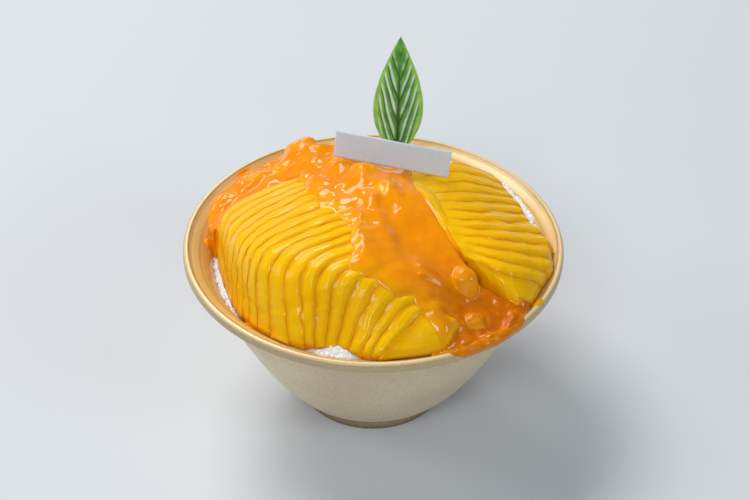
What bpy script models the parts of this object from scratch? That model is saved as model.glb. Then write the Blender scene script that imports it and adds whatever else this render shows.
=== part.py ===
"""Mango shaved ice served in its bowl.

A round bowl on a low foot holds a heap of shaved ice. Two mango cheeks, cut into thin slices, lie fanned
on the heap with a smooth uncut cheek between them and a few mango cubes at the back left. Thick mango
sauce runs from the back left over the middle and across the rim at the front right. A blank card and a
leaf stand in the sauce.

The origin is the centre of the foot's underside, +Z is up and -Y is the front. The functions work in
millimetres, and add_solid turns them into metres.
"""

import math

import bmesh
import bpy
import numpy as np
from mathutils import Matrix, Vector
from mathutils.bvhtree import BVHTree

MM = 0.001
UP = Vector((0, 0, 1))

# Bowl
SEGMENTS = 48
RIM_RADIUS = 90.0
RIM_HEIGHT = 88.5
LIP_BOTTOM = 83.8
BEAD_RADIUS = 1.9
FOOT_RADIUS = 35.0
FOOT_HEIGHT = 5.3
FOOT_RING_WIDTH = 5.0
FOOT_RECESS = 2.0
WALL_TOP = 82.8
WALL_TOP_RADIUS = 82.0
WALL_START_RADIUS = 30.0
WALL_THICKNESS = 3.0
FLOOR_HEIGHT = 9.0
FLOOR_RADIUS = 33.0
FLOOR_CORNER = 3.0
INNER_FLARE = ((80.2, 83.0), (83.4, 85.6), (86.2, 87.1))
BEAD_TURNS = (150, 100, 50, 0)
BAND_EDGE = 0.8
FOOT_EDGE = 0.6

# Ice
ICE_RADIUS = 84.0
ICE_CROWN = 104.0
ICE_EDGE = 78.0
SHORE_RADIUS = 81.0
FRONT_BANK = (math.radians(256), 0.24, 8.0)
BACK_BANK = (math.radians(35), 0.55, 5.0)
LEFT_DIP = (math.radians(200), 0.6, -6.0)
HOLLOW = (-40.0, 50.0, 30.0, 7.0)
ICE_RINGS = 7
ICE_SIDE_SHARES = (0.045, 0.1, 0.22, 0.45, 0.8, 1.0)

# Clearances between pieces that touch
TOUCH = 0.6
WALL_GAP = 1.2
SHEET = 0.2
THIN_EDGE = 1.0

# Mango slices
SLICE_STATIONS = 9
SLICE_ROUNDING = 0.35

# Left fan. Each guide runs under, over and behind the cut cheek from its left end to its right end.
LEFT_CUTS = 19
LEFT_KNOTS = (0, 4, 8, 11, 14, 16, 18, 19)
LEFT_FOOT = ((-74, -8, 80), (-65, -38, 80), (-52, -61, 85), (-30, -78, 88), (-17, -78, 87), (-6, -83.5, 89),
             (3, -85.5, 90), (31, -80, 90))
LEFT_SHOULDER = ((-70, 10, 98), (-62, -22, 107), (-50, -44, 113), (-31, -57, 115), (-9, -64, 112),
                 (7, -68, 106), (19, -72, 101), (34, -77, 95))
LEFT_CROWN = ((-40, 29, 103), (-35, 2, 112), (-23, -26, 118), (-11, -40, 119), (0, -57, 115),
              (17, -62, 109), (27, -69, 103), (37, -72, 97))
LEFT_HEEL = ((-26, 36, 99), (-17, 17, 109), (-3, -12, 113), (10, -24, 113), (16, -45, 110),
             (26, -57, 105), (34, -66, 100), (40, -67, 96))
LEFT_RELIEF = (0.8, 1.5)

# Right fan, from the back to the front
RIGHT_CUTS = 12
RIGHT_KNOTS = (0, 2, 4, 6, 8, 10, 11, 12)
RIGHT_INNER = ((16, 27, 109), (20.5, 11, 113), (26.3, -3, 114.5), (31.3, -14, 114), (35.5, -24, 112),
               (39.5, -31.5, 109), (42, -35, 107), (47, -38, 103))
RIGHT_CREST = ((38, 37, 109), (43, 21, 109), (46, 6, 109), (52, -9, 109), (58, -22, 108), (61, -36, 106),
               (62, -43, 104), (65, -51, 93))
RIGHT_OUTER = ((62, 47, 93), (68, 36, 92), (72, 26, 92), (77, 13, 92), (87, -4, 91), (84, -24, 91),
               (79, -33, 91), (73, -45, 90))
RIGHT_RELIEF = (0.7, 1.0)

# Smooth flank of the right cheek, on the sauce's side: its crest line, from the back to the front
CHEEK_CREST = ((11, 37, 106), (17, 17, 112), (23, 3, 115), (28, -9, 115), (34, -22, 113), (38, -33, 109))
CHEEK_WIDTH = 10.0
CHEEK_CLEARANCE = 0.4
CHEEK_ROWS = 10
CHEEK_COLUMNS = 7

# Mango cubes and round lumps: x, y, size and turn in degrees
CUBES = ((-66, 29, 8, 20), (-57, 42, 9, 50), (-42, 47, 10, 10), (-27, 44, 11, 35), (-46, 56, 7, 70),
         (-31, 61, 12, 40), (-14, 56, 10, 15), (-13, 32, 11, 60), (-4, 18, 11, 25), (5, 3, 10, 50),
         (0, 48, 9, 30))
CUBE_WEAR = 0.16
LUMPS = ((42, -46, 5.5), (46, -60, 5.0))
LUMP_LIFT = 1.12

# Sauce: its two banks and its middle line, from the back left to the front right
SAUCE_BACK_BANK = ((-79, 6), (-79, 24), (-71, 44), (-56, 61), (-36, 69), (-8, 65), (17, 45), (15, 17),
                   (24, -10), (32, -27), (45, -46), (58, -51), (70, -51))
SAUCE_MIDDLE = ((-76, 1), (-75, 17), (-66, 32), (-52, 45), (-36, 49), (-17, 31), (3, 11), (3, -13),
                (9, -34), (19, -47), (36, -58), (50, -65), (59, -68))
SAUCE_FRONT_BANK = ((-73, -4), (-70, 10), (-60, 21), (-48, 26), (-36, 24), (-26, -7), (-12, -26),
                    (-11, -44), (-8, -57), (6, -65), (21, -65), (34, -74), (37, -82))
SAUCE_THICKNESS = (2.5, 3.0, 3.5, 4.0, 5.0, 6.0, 7.0, 6.0, 5.0, 4.5, 4.5, 3.5, 2.5)
SAUCE_ROWS = 38
SAUCE_COLUMNS = 12
SAUCE_SPREAD = 6.0
SAUCE_GAP = 0.8
SAUCE_REACH = 88.5
SAUCE_LOWEST = 80.5
SAUCE_END_ROWS = 3
SAUCE_END_SHARE = 0.35

# Card and leaf
CARD_SIZE = (56.0, 0.6, 13.5)
CARD_CENTRE = (8.3, 24.2, 121.8)
CARD_TURN = math.radians(-13)
CARD_DROP = math.radians(3)
CARD_LEAN = math.radians(-13)
LEAF_BASE = (10.5, 28.5, 111.0)
LEAF_LENGTH = 65.0
LEAF_HALF_WIDTH = 12.0
LEAF_STALK = 0.13
LEAF_STALK_HALF_WIDTH = 0.8
LEAF_THICKNESS = 0.7
LEAF_LEAN = math.radians(8)
LEAF_FOLD = 0.28
LEAF_BEND = 3.0
LEAF_SWAY = 1.0
LEAF_ROWS = 13
LEAF_COLUMNS = 7
SLOT_CLEARANCE = 0.35
STALK_SLOT_SIZE = (2.7, 3.1, 10.0)
STALK_SLOT_RISE = 4.6


def steady_slopes(knots, points):
    """Slopes that never carry a curve past its points, for points that are unevenly spaced."""
    steps = np.diff(points, axis=0) / np.diff(knots)[:, None]
    before, after = steps[:-1], steps[1:]
    same_way = before * after > 0
    total = np.where(same_way, before + after, 1)
    inner = np.where(same_way, 2 * before * after / total, 0)
    return np.concatenate([steps[:1], inner, steps[-1:]])


def spline(knots, points, at, steady=False):
    """Cubic through the points at the knots; the slope at each point comes from its neighbours."""
    knots = np.asarray(knots, float)
    points = np.asarray(points, float)
    at = np.asarray(at, float)
    slopes = steady_slopes(knots, points) if steady else np.gradient(points, knots, axis=0)
    cell = np.clip(np.searchsorted(knots, at, side="right") - 1, 0, len(knots) - 2)
    width = (knots[cell + 1] - knots[cell])[..., None]
    u = (at - knots[cell])[..., None] / width
    start = (1 + 2 * u) * (1 - u) ** 2 * points[cell] + u * (1 - u) ** 2 * width * slopes[cell]
    end = u * u * (3 - 2 * u) * points[cell + 1] - u * u * (1 - u) * width * slopes[cell + 1]
    return start + end


# ---------------------------------------------------------------- shapes that the food lies on


def wall_radius(z):
    """Outer radius of the bowl's wall: it leaves the foot quickly, then runs up almost straight."""
    u = np.clip((z - FOOT_HEIGHT) / (WALL_TOP - FOOT_HEIGHT), 0, 1)
    return WALL_START_RADIUS + (WALL_TOP_RADIUS - WALL_START_RADIUS) * (0.69 * u**0.46 + 0.31 * u)


def inner_profile():
    """Inside of the bowl from the axis to the bead, as (radius, height) rows."""
    heights = np.linspace(FLOOR_HEIGHT + FLOOR_CORNER, WALL_TOP - FLOOR_CORNER, 6)
    wall = [(float(wall_radius(z)) - WALL_THICKNESS, float(z)) for z in heights]
    return [(0.0, FLOOR_HEIGHT), (FLOOR_RADIUS, FLOOR_HEIGHT)] + wall + list(INNER_FLARE)


def bead_profile():
    """Rolled lip: a round top, a short upright band and a step back under it."""
    centre = RIM_RADIUS - BEAD_RADIUS
    top = RIM_HEIGHT - BEAD_RADIUS
    turns = np.radians(BEAD_TURNS)
    bead = [(centre + BEAD_RADIUS * math.cos(a), top + BEAD_RADIUS * math.sin(a)) for a in turns]
    band = [(RIM_RADIUS, LIP_BOTTOM + BAND_EDGE), (RIM_RADIUS - BAND_EDGE, LIP_BOTTOM)]
    step = [(WALL_TOP_RADIUS + 2, WALL_TOP + 0.4)]
    return bead + band + step


def outer_profile():
    """Outside of the bowl from under the lip to the middle of the foot."""
    shares = np.linspace(1, 0.08, 7) ** 1.6
    heights = FOOT_HEIGHT + (WALL_TOP - FOOT_HEIGHT) * shares
    wall = [(float(wall_radius(z)), float(z)) for z in heights]
    ring = FOOT_RADIUS - FOOT_RING_WIDTH
    foot = [(FOOT_RADIUS, FOOT_HEIGHT), (FOOT_RADIUS, FOOT_EDGE), (FOOT_RADIUS - FOOT_EDGE, 0.0),
            (ring, 0.0), (ring, FOOT_RECESS), (0.0, FOOT_RECESS)]
    return wall + foot


def bank_height(angle, bank):
    """Extra height of the ice at its edge, as a smooth bump around one direction."""
    middle, spread, height = bank
    away = (angle - middle + math.pi) % (2 * math.pi) - math.pi
    return height * np.exp(-((away / spread) ** 2))


def ice_top(x, y):
    """Top of the ice: a dome, banked up at the front and back right edge, low at the left and back left."""
    angle = np.arctan2(y, x)
    edge = ICE_EDGE + sum(bank_height(angle, bank) for bank in (FRONT_BANK, BACK_BANK, LEFT_DIP))
    reach = np.clip(np.hypot(x, y) / ICE_RADIUS, 0, 1)
    hollow_x, hollow_y, spread, depth = HOLLOW
    hollow = depth * np.exp(-((x - hollow_x) ** 2 + (y - hollow_y) ** 2) / spread**2)
    return edge + (ICE_CROWN - edge) * (1 - reach**2) - hollow


def food_floor(x, y):
    """Lowest height for a piece at x, y: the ice or the bowl's inside, whichever is higher."""
    radii, heights = np.array(inner_profile() + bead_profile()[:3]).T
    return np.maximum(ice_top(x, y), np.interp(np.hypot(x, y), radii, heights)) + TOUCH


# ---------------------------------------------------------------- meshes and objects


def loft(rings):
    """Vertices and faces of rings joined one after another; a ring of one point closes an end."""
    vertices = [tuple(point) for ring in rings for point in ring]
    faces = []
    start = 0
    for ring, following in zip(rings, rings[1:]):
        after = start + len(ring)
        count = max(len(ring), len(following))
        for i in range(count):
            j = (i + 1) % count
            if len(ring) == 1:
                faces.append((start, after + j, after + i))
            elif len(following) == 1:
                faces.append((start + i, start + j, after))
            else:
                faces.append((start + i, start + j, after + j, after + i))
        start = after
    if len(rings[0]) > 1:
        faces.append(tuple(reversed(range(len(rings[0])))))
    if len(rings[-1]) > 1:
        faces.append(tuple(range(start, start + len(rings[-1]))))
    return vertices, faces


def slab(top, bottom):
    """Vertices and faces between two grids of the same size, closed around their edges."""
    rings = [np.concatenate([upper, lower[::-1]]) for upper, lower in zip(top, bottom)]
    width = top.shape[1]
    vertices, faces = loft(rings)
    sides = faces[:-2]
    ends = []
    for row in (0, len(rings) - 1):
        first = row * 2 * width
        for i in range(width - 1):
            quad = (first + i, first + i + 1, first + 2 * width - 2 - i, first + 2 * width - 1 - i)
            ends.append(quad if row else quad[::-1])
    return vertices, sides + ends


def signed_volume(vertices, faces):
    """Volume enclosed by the faces, negative where they point inwards."""
    total = 0.0
    for face in faces:
        first = Vector(vertices[face[0]])
        for second, third in zip(face[1:], face[2:]):
            total += first.dot(Vector(vertices[second]).cross(Vector(vertices[third]))) / 6
    return total


def add_solid(name, vertices, faces, material, sharp=40):
    """Object with the given solid, its faces outwards and its round stretches shaded smooth."""
    if signed_volume(vertices, faces) < 0:
        faces = [tuple(reversed(face)) for face in faces]
    mesh = bpy.data.meshes.new(name)
    mesh.from_pydata([Vector(vertex) * MM for vertex in vertices], [], faces)
    mesh.shade_smooth()
    mesh.set_sharp_from_angle(angle=math.radians(sharp))
    mesh.materials.append(material)
    obj = bpy.data.objects.new(name, mesh)
    bpy.context.scene.collection.objects.link(obj)
    return obj


def make_material(name, colour, roughness, subsurface=0.0, coat=0.0):
    """Principled material with one colour, given in linear RGB."""
    material = bpy.data.materials.new(name)
    material.use_nodes = True
    shader = material.node_tree.nodes["Principled BSDF"]
    shader.inputs["Base Color"].default_value = (*colour, 1)
    shader.inputs["Roughness"].default_value = roughness
    shader.inputs["Metallic"].default_value = 0.0
    shader.inputs["Subsurface Weight"].default_value = subsurface
    shader.inputs["Coat Weight"].default_value = coat
    return material


# ---------------------------------------------------------------- bowl and ice


def build_bowl(material):
    """Turned bowl: the section runs up the inside, over the bead and down the outside to the foot."""
    section = inner_profile() + bead_profile() + outer_profile()
    mesh = bpy.data.meshes.new("bowl")
    edges = [(i, i + 1) for i in range(len(section) - 1)]
    mesh.from_pydata([(r * MM, 0, z * MM) for r, z in section], edges, [])
    mesh.materials.append(material)
    bowl = bpy.data.objects.new("bowl", mesh)
    bpy.context.scene.collection.objects.link(bowl)
    turn = bowl.modifiers.new("turn", "SCREW")
    turn.axis = "Z"
    turn.angle = 2 * math.pi
    turn.steps = SEGMENTS
    turn.render_steps = SEGMENTS
    turn.use_merge_vertices = True
    turn.merge_threshold = 0.00001
    return bowl


def build_ice(material):
    """Ice core: a banked dome on top, and below it the inside of the bowl less a clearance."""
    angles = np.arange(SEGMENTS) * 2 * math.pi / SEGMENTS
    radii, heights = np.array(inner_profile()[1:]).T
    across, ahead = np.cos(angles), np.sin(angles)
    edge = np.full(SEGMENTS, SHORE_RADIUS)
    for _ in range(5):
        edge = np.interp(ice_top(across * edge, ahead * edge), heights, radii) - WALL_GAP
    rings = [[(0.0, 0.0, float(ice_top(0.0, 0.0)))]]
    for reach in np.linspace(0, 1, ICE_RINGS + 1)[1:]:
        x = across * edge * reach
        y = ahead * edge * reach
        rings.append(np.stack([x, y, ice_top(x, y)], 1))
    shore = rings[-1][:, 2]
    bottom = FLOOR_HEIGHT + TOUCH
    for share in ICE_SIDE_SHARES:
        height = shore + (bottom - shore) * share
        radius = np.interp(height, heights, radii) - WALL_GAP
        rings.append(np.stack([across * radius, ahead * radius, height], 1))
    rings.append([(0.0, 0.0, bottom)])
    return add_solid("shaved_ice", *loft(rings), material)


# ---------------------------------------------------------------- mango


def sheet_of(guides, knots, cut, steps):
    """One cut through a fanned cheek: a curve over the guides at that cut's place along the fan."""
    posts = np.array([spline(knots, guide, np.array([cut]), steady=True)[0] for guide in guides])
    places = np.linspace(0, 1, len(guides))
    return spline(places, posts, steps)


def slice_edge(curve, towards, relief):
    """Top edge of a slice on one cut: moved off the cut by the clearance and sunk by the relief."""
    tangent = np.gradient(curve, axis=0)
    run = np.hypot(tangent[:, 0], tangent[:, 1])
    along = tangent[:, :2] / run[:, None]
    across = np.stack([-along[:, 1], along[:, 0]], 1)
    side = np.sign(np.sum(across * (towards - curve)[:, :2], 1))[:, None]
    length = np.hypot(run, tangent[:, 2])
    edge = curve.copy()
    edge[:, :2] += across * side * SHEET
    edge[:, :2] += along * (tangent[:, 2] / length * relief)[:, None]
    edge[:, 2] -= run / length * relief
    return edge


def keep_on_floor(points, least):
    """The points, none of them lower than the floor under it plus the given height."""
    points = points.copy()
    points[:, 2] = np.maximum(points[:, 2], food_floor(points[:, 0], points[:, 1]) + least)
    return points


def build_slice(name, guides, knots, first, last, relief, material):
    """One mango slice: the plate between two cuts, from its rounded top down to the floor.

    The slices lean like fallen dominoes, so the edge on the first cut is sunk by the relief.
    """
    steps = np.linspace(0, 1, SLICE_STATIONS)
    near = sheet_of(guides, knots, first, steps)
    far = sheet_of(guides, knots, last, steps)
    low = keep_on_floor(slice_edge(near, far, relief), THIN_EDGE)
    high = keep_on_floor(slice_edge(far, near, 0.0), THIN_EDGE)
    middle = keep_on_floor((low + high) / 2 + np.array((0, 0, SLICE_ROUNDING * relief)), THIN_EDGE)
    rings = []
    for a, b, c in zip(low, middle, high):
        under_a = (a[0], a[1], float(food_floor(a[0], a[1])))
        under_c = (c[0], c[1], float(food_floor(c[0], c[1])))
        rings.append([under_a, a, b, c, under_c])
    return add_solid(name, *loft(rings), material)


def build_fan(name, guides, knots, cuts, relief, material):
    """All the slices of one fan, with the relief growing from the first slice to the last."""
    slices = []
    for i in range(cuts):
        depth = relief[0] + (relief[1] - relief[0]) * i / (cuts - 1)
        slices.append(build_slice(f"{name}_{i + 1:02d}", guides, knots, i, i + 1, depth, material))
    return slices


def build_cheek(material):
    """Smooth flank: it curves down from the crest line to the floor, and is shorter at both ends."""
    along = np.linspace(0, 1, CHEEK_ROWS)
    crest = spline(np.linspace(0, 1, len(CHEEK_CREST)), CHEEK_CREST, along)
    direction = np.gradient(crest[:, :2], axis=0)
    direction /= np.hypot(direction[:, 0], direction[:, 1])[:, None]
    across = np.stack([direction[:, 1], -direction[:, 0]], 1)[:, None]
    fullness = (1 - np.abs(2 * along - 1) ** 3.0 * 0.75) ** 0.5
    offset = np.linspace(0, 1, CHEEK_COLUMNS)
    reach = CHEEK_CLEARANCE + fullness[:, None] * offset * CHEEK_WIDTH
    x = crest[:, None, 0] + across[..., 0] * reach
    y = crest[:, None, 1] + across[..., 1] * reach
    floor = food_floor(x, y)
    rise = (crest[:, None, 2] - food_floor(crest[:, 0], crest[:, 1])[:, None]) * fullness[:, None]
    top = floor + THIN_EDGE + np.maximum(rise - THIN_EDGE, 0) * (1 - offset**2.4) ** 0.6
    return add_solid("mango_cheek", *slab(np.stack([x, y, top], 2), np.stack([x, y, floor], 2)), material)


def floor_normal(x, y):
    """Upward normal of the ice dome at x, y."""
    step = 0.5
    slope_x = (ice_top(x + step, y) - ice_top(x - step, y)) / (2 * step)
    slope_y = (ice_top(x, y + step) - ice_top(x, y - step)) / (2 * step)
    return Vector((-slope_x, -slope_y, 1)).normalized()


def build_cube(name, x, y, size, turn, material):
    """Mango cube with worn edges, its base on the slope of the ice."""
    shape = bmesh.new()
    bmesh.ops.create_cube(shape, size=size)
    bmesh.ops.bevel(shape, geom=shape.edges[:], offset=size * CUBE_WEAR, segments=1, affect="EDGES")
    normal = floor_normal(x, y)
    base = Vector((x, y, float(food_floor(x, y))))
    stand = UP.rotation_difference(normal).to_matrix().to_4x4()
    place = Matrix.Translation(base + normal * (size / 2 + TOUCH)) @ stand
    shape.transform(place @ Matrix.Rotation(math.radians(turn), 4, "Z"))
    shape.verts.ensure_lookup_table()
    vertices = [tuple(vertex.co) for vertex in shape.verts]
    faces = [tuple(vertex.index for vertex in face.verts) for face in shape.faces]
    shape.free()
    return add_solid(name, vertices, faces, material)


def build_lump(name, x, y, radius, material):
    """Round lump of mango, resting on the floor."""
    shape = bmesh.new()
    bmesh.ops.create_uvsphere(shape, u_segments=10, v_segments=6, radius=radius)
    height = float(food_floor(x, y)) + radius * LUMP_LIFT + TOUCH
    shape.transform(Matrix.Translation((x, y, height)))
    vertices = [tuple(vertex.co) for vertex in shape.verts]
    faces = [tuple(vertex.index for vertex in face.verts) for face in shape.faces]
    shape.free()
    return add_solid(name, vertices, faces, material)


# ---------------------------------------------------------------- sauce, card and leaf


def merged_tree(objects):
    """One search tree, in millimetres, over the evaluated meshes of the objects."""
    graph = bpy.context.evaluated_depsgraph_get()
    vertices = []
    faces = []
    for obj in objects:
        mesh = obj.evaluated_get(graph).to_mesh()
        start = len(vertices)
        vertices += [vertex.co / MM for vertex in mesh.vertices]
        faces += [tuple(start + index for index in face.vertices) for face in mesh.polygons]
    return BVHTree.FromPolygons(vertices, faces)


def height_under(tree, x, y, spread):
    """Highest point of the pieces below a small disc of the given radius around x, y."""
    highest = SAUCE_LOWEST
    for share in (0.0, 0.5, 1.0):
        for i in range(12 if share else 1):
            angle = 2 * math.pi * i / 12
            start = (x + share * spread * math.cos(angle), y + share * spread * math.sin(angle), 300.0)
            hit = tree.ray_cast(Vector(start), -UP)[0]
            if hit is not None:
                highest = max(highest, hit.z)
    return highest


def sauce_plan():
    """Grid of x, y over the sauce: a curve through both banks and the middle line in every row."""
    knots = np.linspace(0, 1, len(SAUCE_MIDDLE))
    along = np.linspace(0, 1, SAUCE_ROWS)
    lines = [spline(knots, line, along) for line in (SAUCE_BACK_BANK, SAUCE_MIDDLE, SAUCE_FRONT_BANK)]
    v = np.linspace(0, 1, SAUCE_COLUMNS)[None, :, None]
    back, middle, front = (line[:, None] for line in lines)
    plan = back * (1 - v) * (1 - 2 * v) + middle * 4 * v * (1 - v) + front * v * (2 * v - 1)
    radius = np.linalg.norm(plan, axis=2, keepdims=True)
    return plan * np.minimum(1, SAUCE_REACH / radius)


def build_sauce(pieces, material):
    """Sauce: a blanket over everything below it, thick along its middle and thin at its banks."""
    tree = merged_tree(pieces)
    plan = sauce_plan()
    rows, columns = plan.shape[:2]
    under = np.array([[height_under(tree, x, y, SAUCE_SPREAD) for x, y in row] for row in plan]) + SAUCE_GAP
    thickness = spline(np.linspace(0, 1, len(SAUCE_THICKNESS)), np.array(SAUCE_THICKNESS)[:, None],
                       np.linspace(0, 1, rows))[:, 0]
    v = np.linspace(-1, 1, columns)
    row = np.arange(rows)
    ends = np.minimum(1, np.minimum(row, row[::-1]) / SAUCE_END_ROWS + SAUCE_END_SHARE)
    top = under + THIN_EDGE + (thickness * ends)[:, None] * (1 - v**4)
    vertices, faces = slab(np.dstack([plan, top]), np.dstack([plan, under]))
    return add_solid("mango_sauce", vertices, faces, material)


def card_place():
    """Where the card stands: turned a little, dropped at its right end and leaning back."""
    turn = Matrix.Rotation(CARD_TURN, 4, "Z") @ Matrix.Rotation(CARD_DROP, 4, "Y")
    return Matrix.Translation(CARD_CENTRE) @ turn @ Matrix.Rotation(CARD_LEAN, 4, "X")


def box_solid(size, place):
    """Vertices and faces of a box of the given size."""
    width, depth, height = (length / 2 for length in size)
    outline = ((-width, -depth), (width, -depth), (width, depth), (-width, depth))
    rings = [[place @ Vector((x, y, z)) for x, y in outline] for z in (-height, height)]
    return loft(rings)


def leaf_surface(u, v):
    """Point of the leaf's middle surface; u runs from the stalk to the tip, v from edge to edge."""
    blade = np.clip((u - LEAF_STALK) / (1 - LEAF_STALK), 0, 1)
    taper = np.clip((blade - 0.6) / 0.25, 0, 1)
    point = 1 - 0.4 * taper * taper * (3 - 2 * taper)
    swell = np.sin(np.pi * blade**0.68) * point
    half = LEAF_STALK_HALF_WIDTH + (LEAF_HALF_WIDTH - LEAF_STALK_HALF_WIDTH) * swell
    x = half * v
    fold = LEAF_FOLD * half * np.abs(v) ** 1.3
    bend = LEAF_BEND * u * u
    z = LEAF_LENGTH * u
    back = fold + bend + z * math.tan(LEAF_LEAN)
    return np.stack([LEAF_BASE[0] + x + LEAF_SWAY * u, LEAF_BASE[1] + back, LEAF_BASE[2] + z], -1)


def build_leaf(material):
    """Leaf: a thin blade folded along its rib, on a short stalk."""
    u = np.linspace(0, 1, LEAF_ROWS)[:, None] * np.ones(LEAF_COLUMNS)
    v = np.ones(LEAF_ROWS)[:, None] * np.linspace(-1, 1, LEAF_COLUMNS)
    front = leaf_surface(u, v)
    back = front + np.array((0, LEAF_THICKNESS, 0))
    return add_solid("leaf", *slab(front, back), material, sharp=60)


def cut_slot(obj, name, vertices, faces, material):
    """Opening in a solid around the foot of a piece that stands in it."""
    cutter = add_solid(name, vertices, faces, material)
    cutter.hide_render = True
    cutter.display_type = "WIRE"
    cut = obj.modifiers.new(name, "BOOLEAN")
    cut.operation = "DIFFERENCE"
    cut.solver = "EXACT"
    cut.object = cutter


def main():
    for obj in list(bpy.data.objects):
        bpy.data.objects.remove(obj)

    stoneware = make_material("stoneware", (0.52, 0.42, 0.28), 0.45)
    ice = make_material("ice", (0.86, 0.87, 0.88), 0.5, subsurface=0.3)
    mango = make_material("mango", (0.90, 0.52, 0.02), 0.35, subsurface=0.3)
    jam = make_material("jam", (0.85, 0.26, 0.01), 0.12, subsurface=0.2, coat=0.6)
    paper = make_material("paper", (0.56, 0.56, 0.57), 0.6)
    green = make_material("green", (0.08, 0.30, 0.04), 0.35)

    bowl = build_bowl(stoneware)
    heap = build_ice(ice)
    left = build_fan("left_slice", (LEFT_FOOT, LEFT_SHOULDER, LEFT_CROWN, LEFT_HEEL), LEFT_KNOTS, LEFT_CUTS,
                     LEFT_RELIEF, mango)
    right = build_fan("right_slice", (RIGHT_INNER, RIGHT_CREST, RIGHT_OUTER), RIGHT_KNOTS, RIGHT_CUTS,
                      RIGHT_RELIEF, mango)
    cheek = build_cheek(mango)
    cubes = [build_cube(f"mango_cube_{i + 1}", *cube, mango) for i, cube in enumerate(CUBES)]
    lumps = [build_lump(f"mango_lump_{i + 1}", *lump, mango) for i, lump in enumerate(LUMPS)]
    sauce = build_sauce([bowl, heap, cheek] + left + right + cubes + lumps, jam)

    add_solid("blank_card", *box_solid(CARD_SIZE, card_place()), paper)
    slot = tuple(length + 2 * SLOT_CLEARANCE for length in CARD_SIZE)
    cut_slot(sauce, "card_slot", *box_solid(slot, card_place()), paper)
    build_leaf(green)
    stalk_place = Matrix.Translation(Vector(LEAF_BASE) + Vector((0, LEAF_THICKNESS, STALK_SLOT_RISE)))
    cut_slot(sauce, "leaf_slot", *box_solid(STALK_SLOT_SIZE, stalk_place), green)


main()
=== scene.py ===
"""Looks of the mango shaved ice: a speckled stoneware bowl, shaved ice, fanned mango, sauce, a card and a leaf.

Lengths in the shape functions are in millimetres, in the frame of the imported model: origin under the foot,
+Z up, -Y the front. make_piece turns them into metres.
"""

import math

import bmesh
import bpy
import numpy as np
from mathutils import Matrix


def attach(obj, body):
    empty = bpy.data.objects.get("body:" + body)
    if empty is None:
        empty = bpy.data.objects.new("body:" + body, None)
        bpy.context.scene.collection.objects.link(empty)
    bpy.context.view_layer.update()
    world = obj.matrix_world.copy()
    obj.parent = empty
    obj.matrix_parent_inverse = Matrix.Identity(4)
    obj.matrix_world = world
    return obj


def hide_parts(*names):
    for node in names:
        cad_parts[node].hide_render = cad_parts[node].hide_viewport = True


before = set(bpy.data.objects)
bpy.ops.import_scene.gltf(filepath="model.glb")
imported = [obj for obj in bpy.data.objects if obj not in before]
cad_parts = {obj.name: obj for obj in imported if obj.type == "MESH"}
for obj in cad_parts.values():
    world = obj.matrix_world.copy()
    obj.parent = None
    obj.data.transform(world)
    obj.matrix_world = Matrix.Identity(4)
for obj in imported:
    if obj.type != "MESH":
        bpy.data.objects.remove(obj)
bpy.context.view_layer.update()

MM = 0.001

# ---------------------------------------------------------------- sizes, as the solids have them

RIM_RADIUS = 90.0
RIM_HEIGHT = 88.5
LIP_BOTTOM = 83.8
BEAD_RADIUS = 1.9
FOOT_RADIUS = 35.0
FOOT_HEIGHT = 5.3
FOOT_RING_WIDTH = 5.0
FOOT_RECESS = 2.0
WALL_TOP = 82.8
WALL_TOP_RADIUS = 82.0
WALL_START_RADIUS = 30.0
WALL_THICKNESS = 3.0
FLOOR_HEIGHT = 9.0
FLOOR_RADIUS = 33.0

TOUCH = 0.6
ICE_RADIUS = 84.0
ICE_CROWN = 104.0
ICE_EDGE = 78.0
SHORE_RADIUS = 81.0
LEFT_DIP = (math.radians(196), 0.55, -10.5)
FRONT_BANK = (math.radians(258), 0.26, 7.0)
BACK_BANK = (math.radians(35), 0.55, 6.5)
HOLLOW = (-40.0, 50.0, 30.0, 7.0)

LEFT_CUTS = 19
LEFT_KNOTS = (0, 4, 8, 11, 14, 16, 18, 19)
LEFT_FOOT = ((-74, -8, 80), (-65, -38, 80), (-52, -61, 85), (-30, -78, 88), (-17, -78, 87), (-6, -83.5, 89),
             (3, -85.5, 90), (31, -80, 90))
LEFT_SHOULDER = ((-70, 10, 98), (-62, -22, 107), (-50, -44, 113), (-31, -57, 115), (-9, -64, 112),
                 (7, -68, 106), (19, -72, 101), (34, -77, 95))
LEFT_CROWN = ((-40, 29, 103), (-35, 2, 112), (-23, -26, 118), (-11, -40, 119), (0, -57, 115),
              (17, -62, 109), (27, -69, 103), (37, -72, 97))
LEFT_HEEL = ((-26, 36, 99), (-17, 17, 109), (-3, -12, 113), (10, -24, 113), (16, -45, 110),
             (26, -57, 105), (34, -66, 100), (40, -67, 96))
LEFT_RELIEF = (0.32, 0.9)

RIGHT_CUTS = 12
RIGHT_KNOTS = (0, 2, 4, 6, 8, 10, 11, 12)
RIGHT_INNER = ((16, 27, 109), (20.5, 11, 113), (26.3, -3, 114.5), (31.3, -14, 114), (35.5, -24, 112),
               (39.5, -31.5, 109), (42, -35, 107), (47, -38, 103))
RIGHT_CREST = ((38, 37, 109), (43, 21, 109), (46, 6, 109), (52, -9, 109), (58, -22, 108), (61, -36, 106),
               (62, -43, 104), (65, -51, 93))
RIGHT_OUTER = ((62, 47, 93), (68, 36, 92), (72, 26, 92), (77, 13, 92), (87, -4, 91), (84, -24, 91),
               (79, -33, 91), (73, -45, 90))
RIGHT_RELIEF = (0.5, 1.05)

CHEEK_CREST = ((11, 37, 106), (17, 17, 112), (23, 3, 115), (28, -9, 115), (34, -22, 113), (38, -33, 109))

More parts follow.
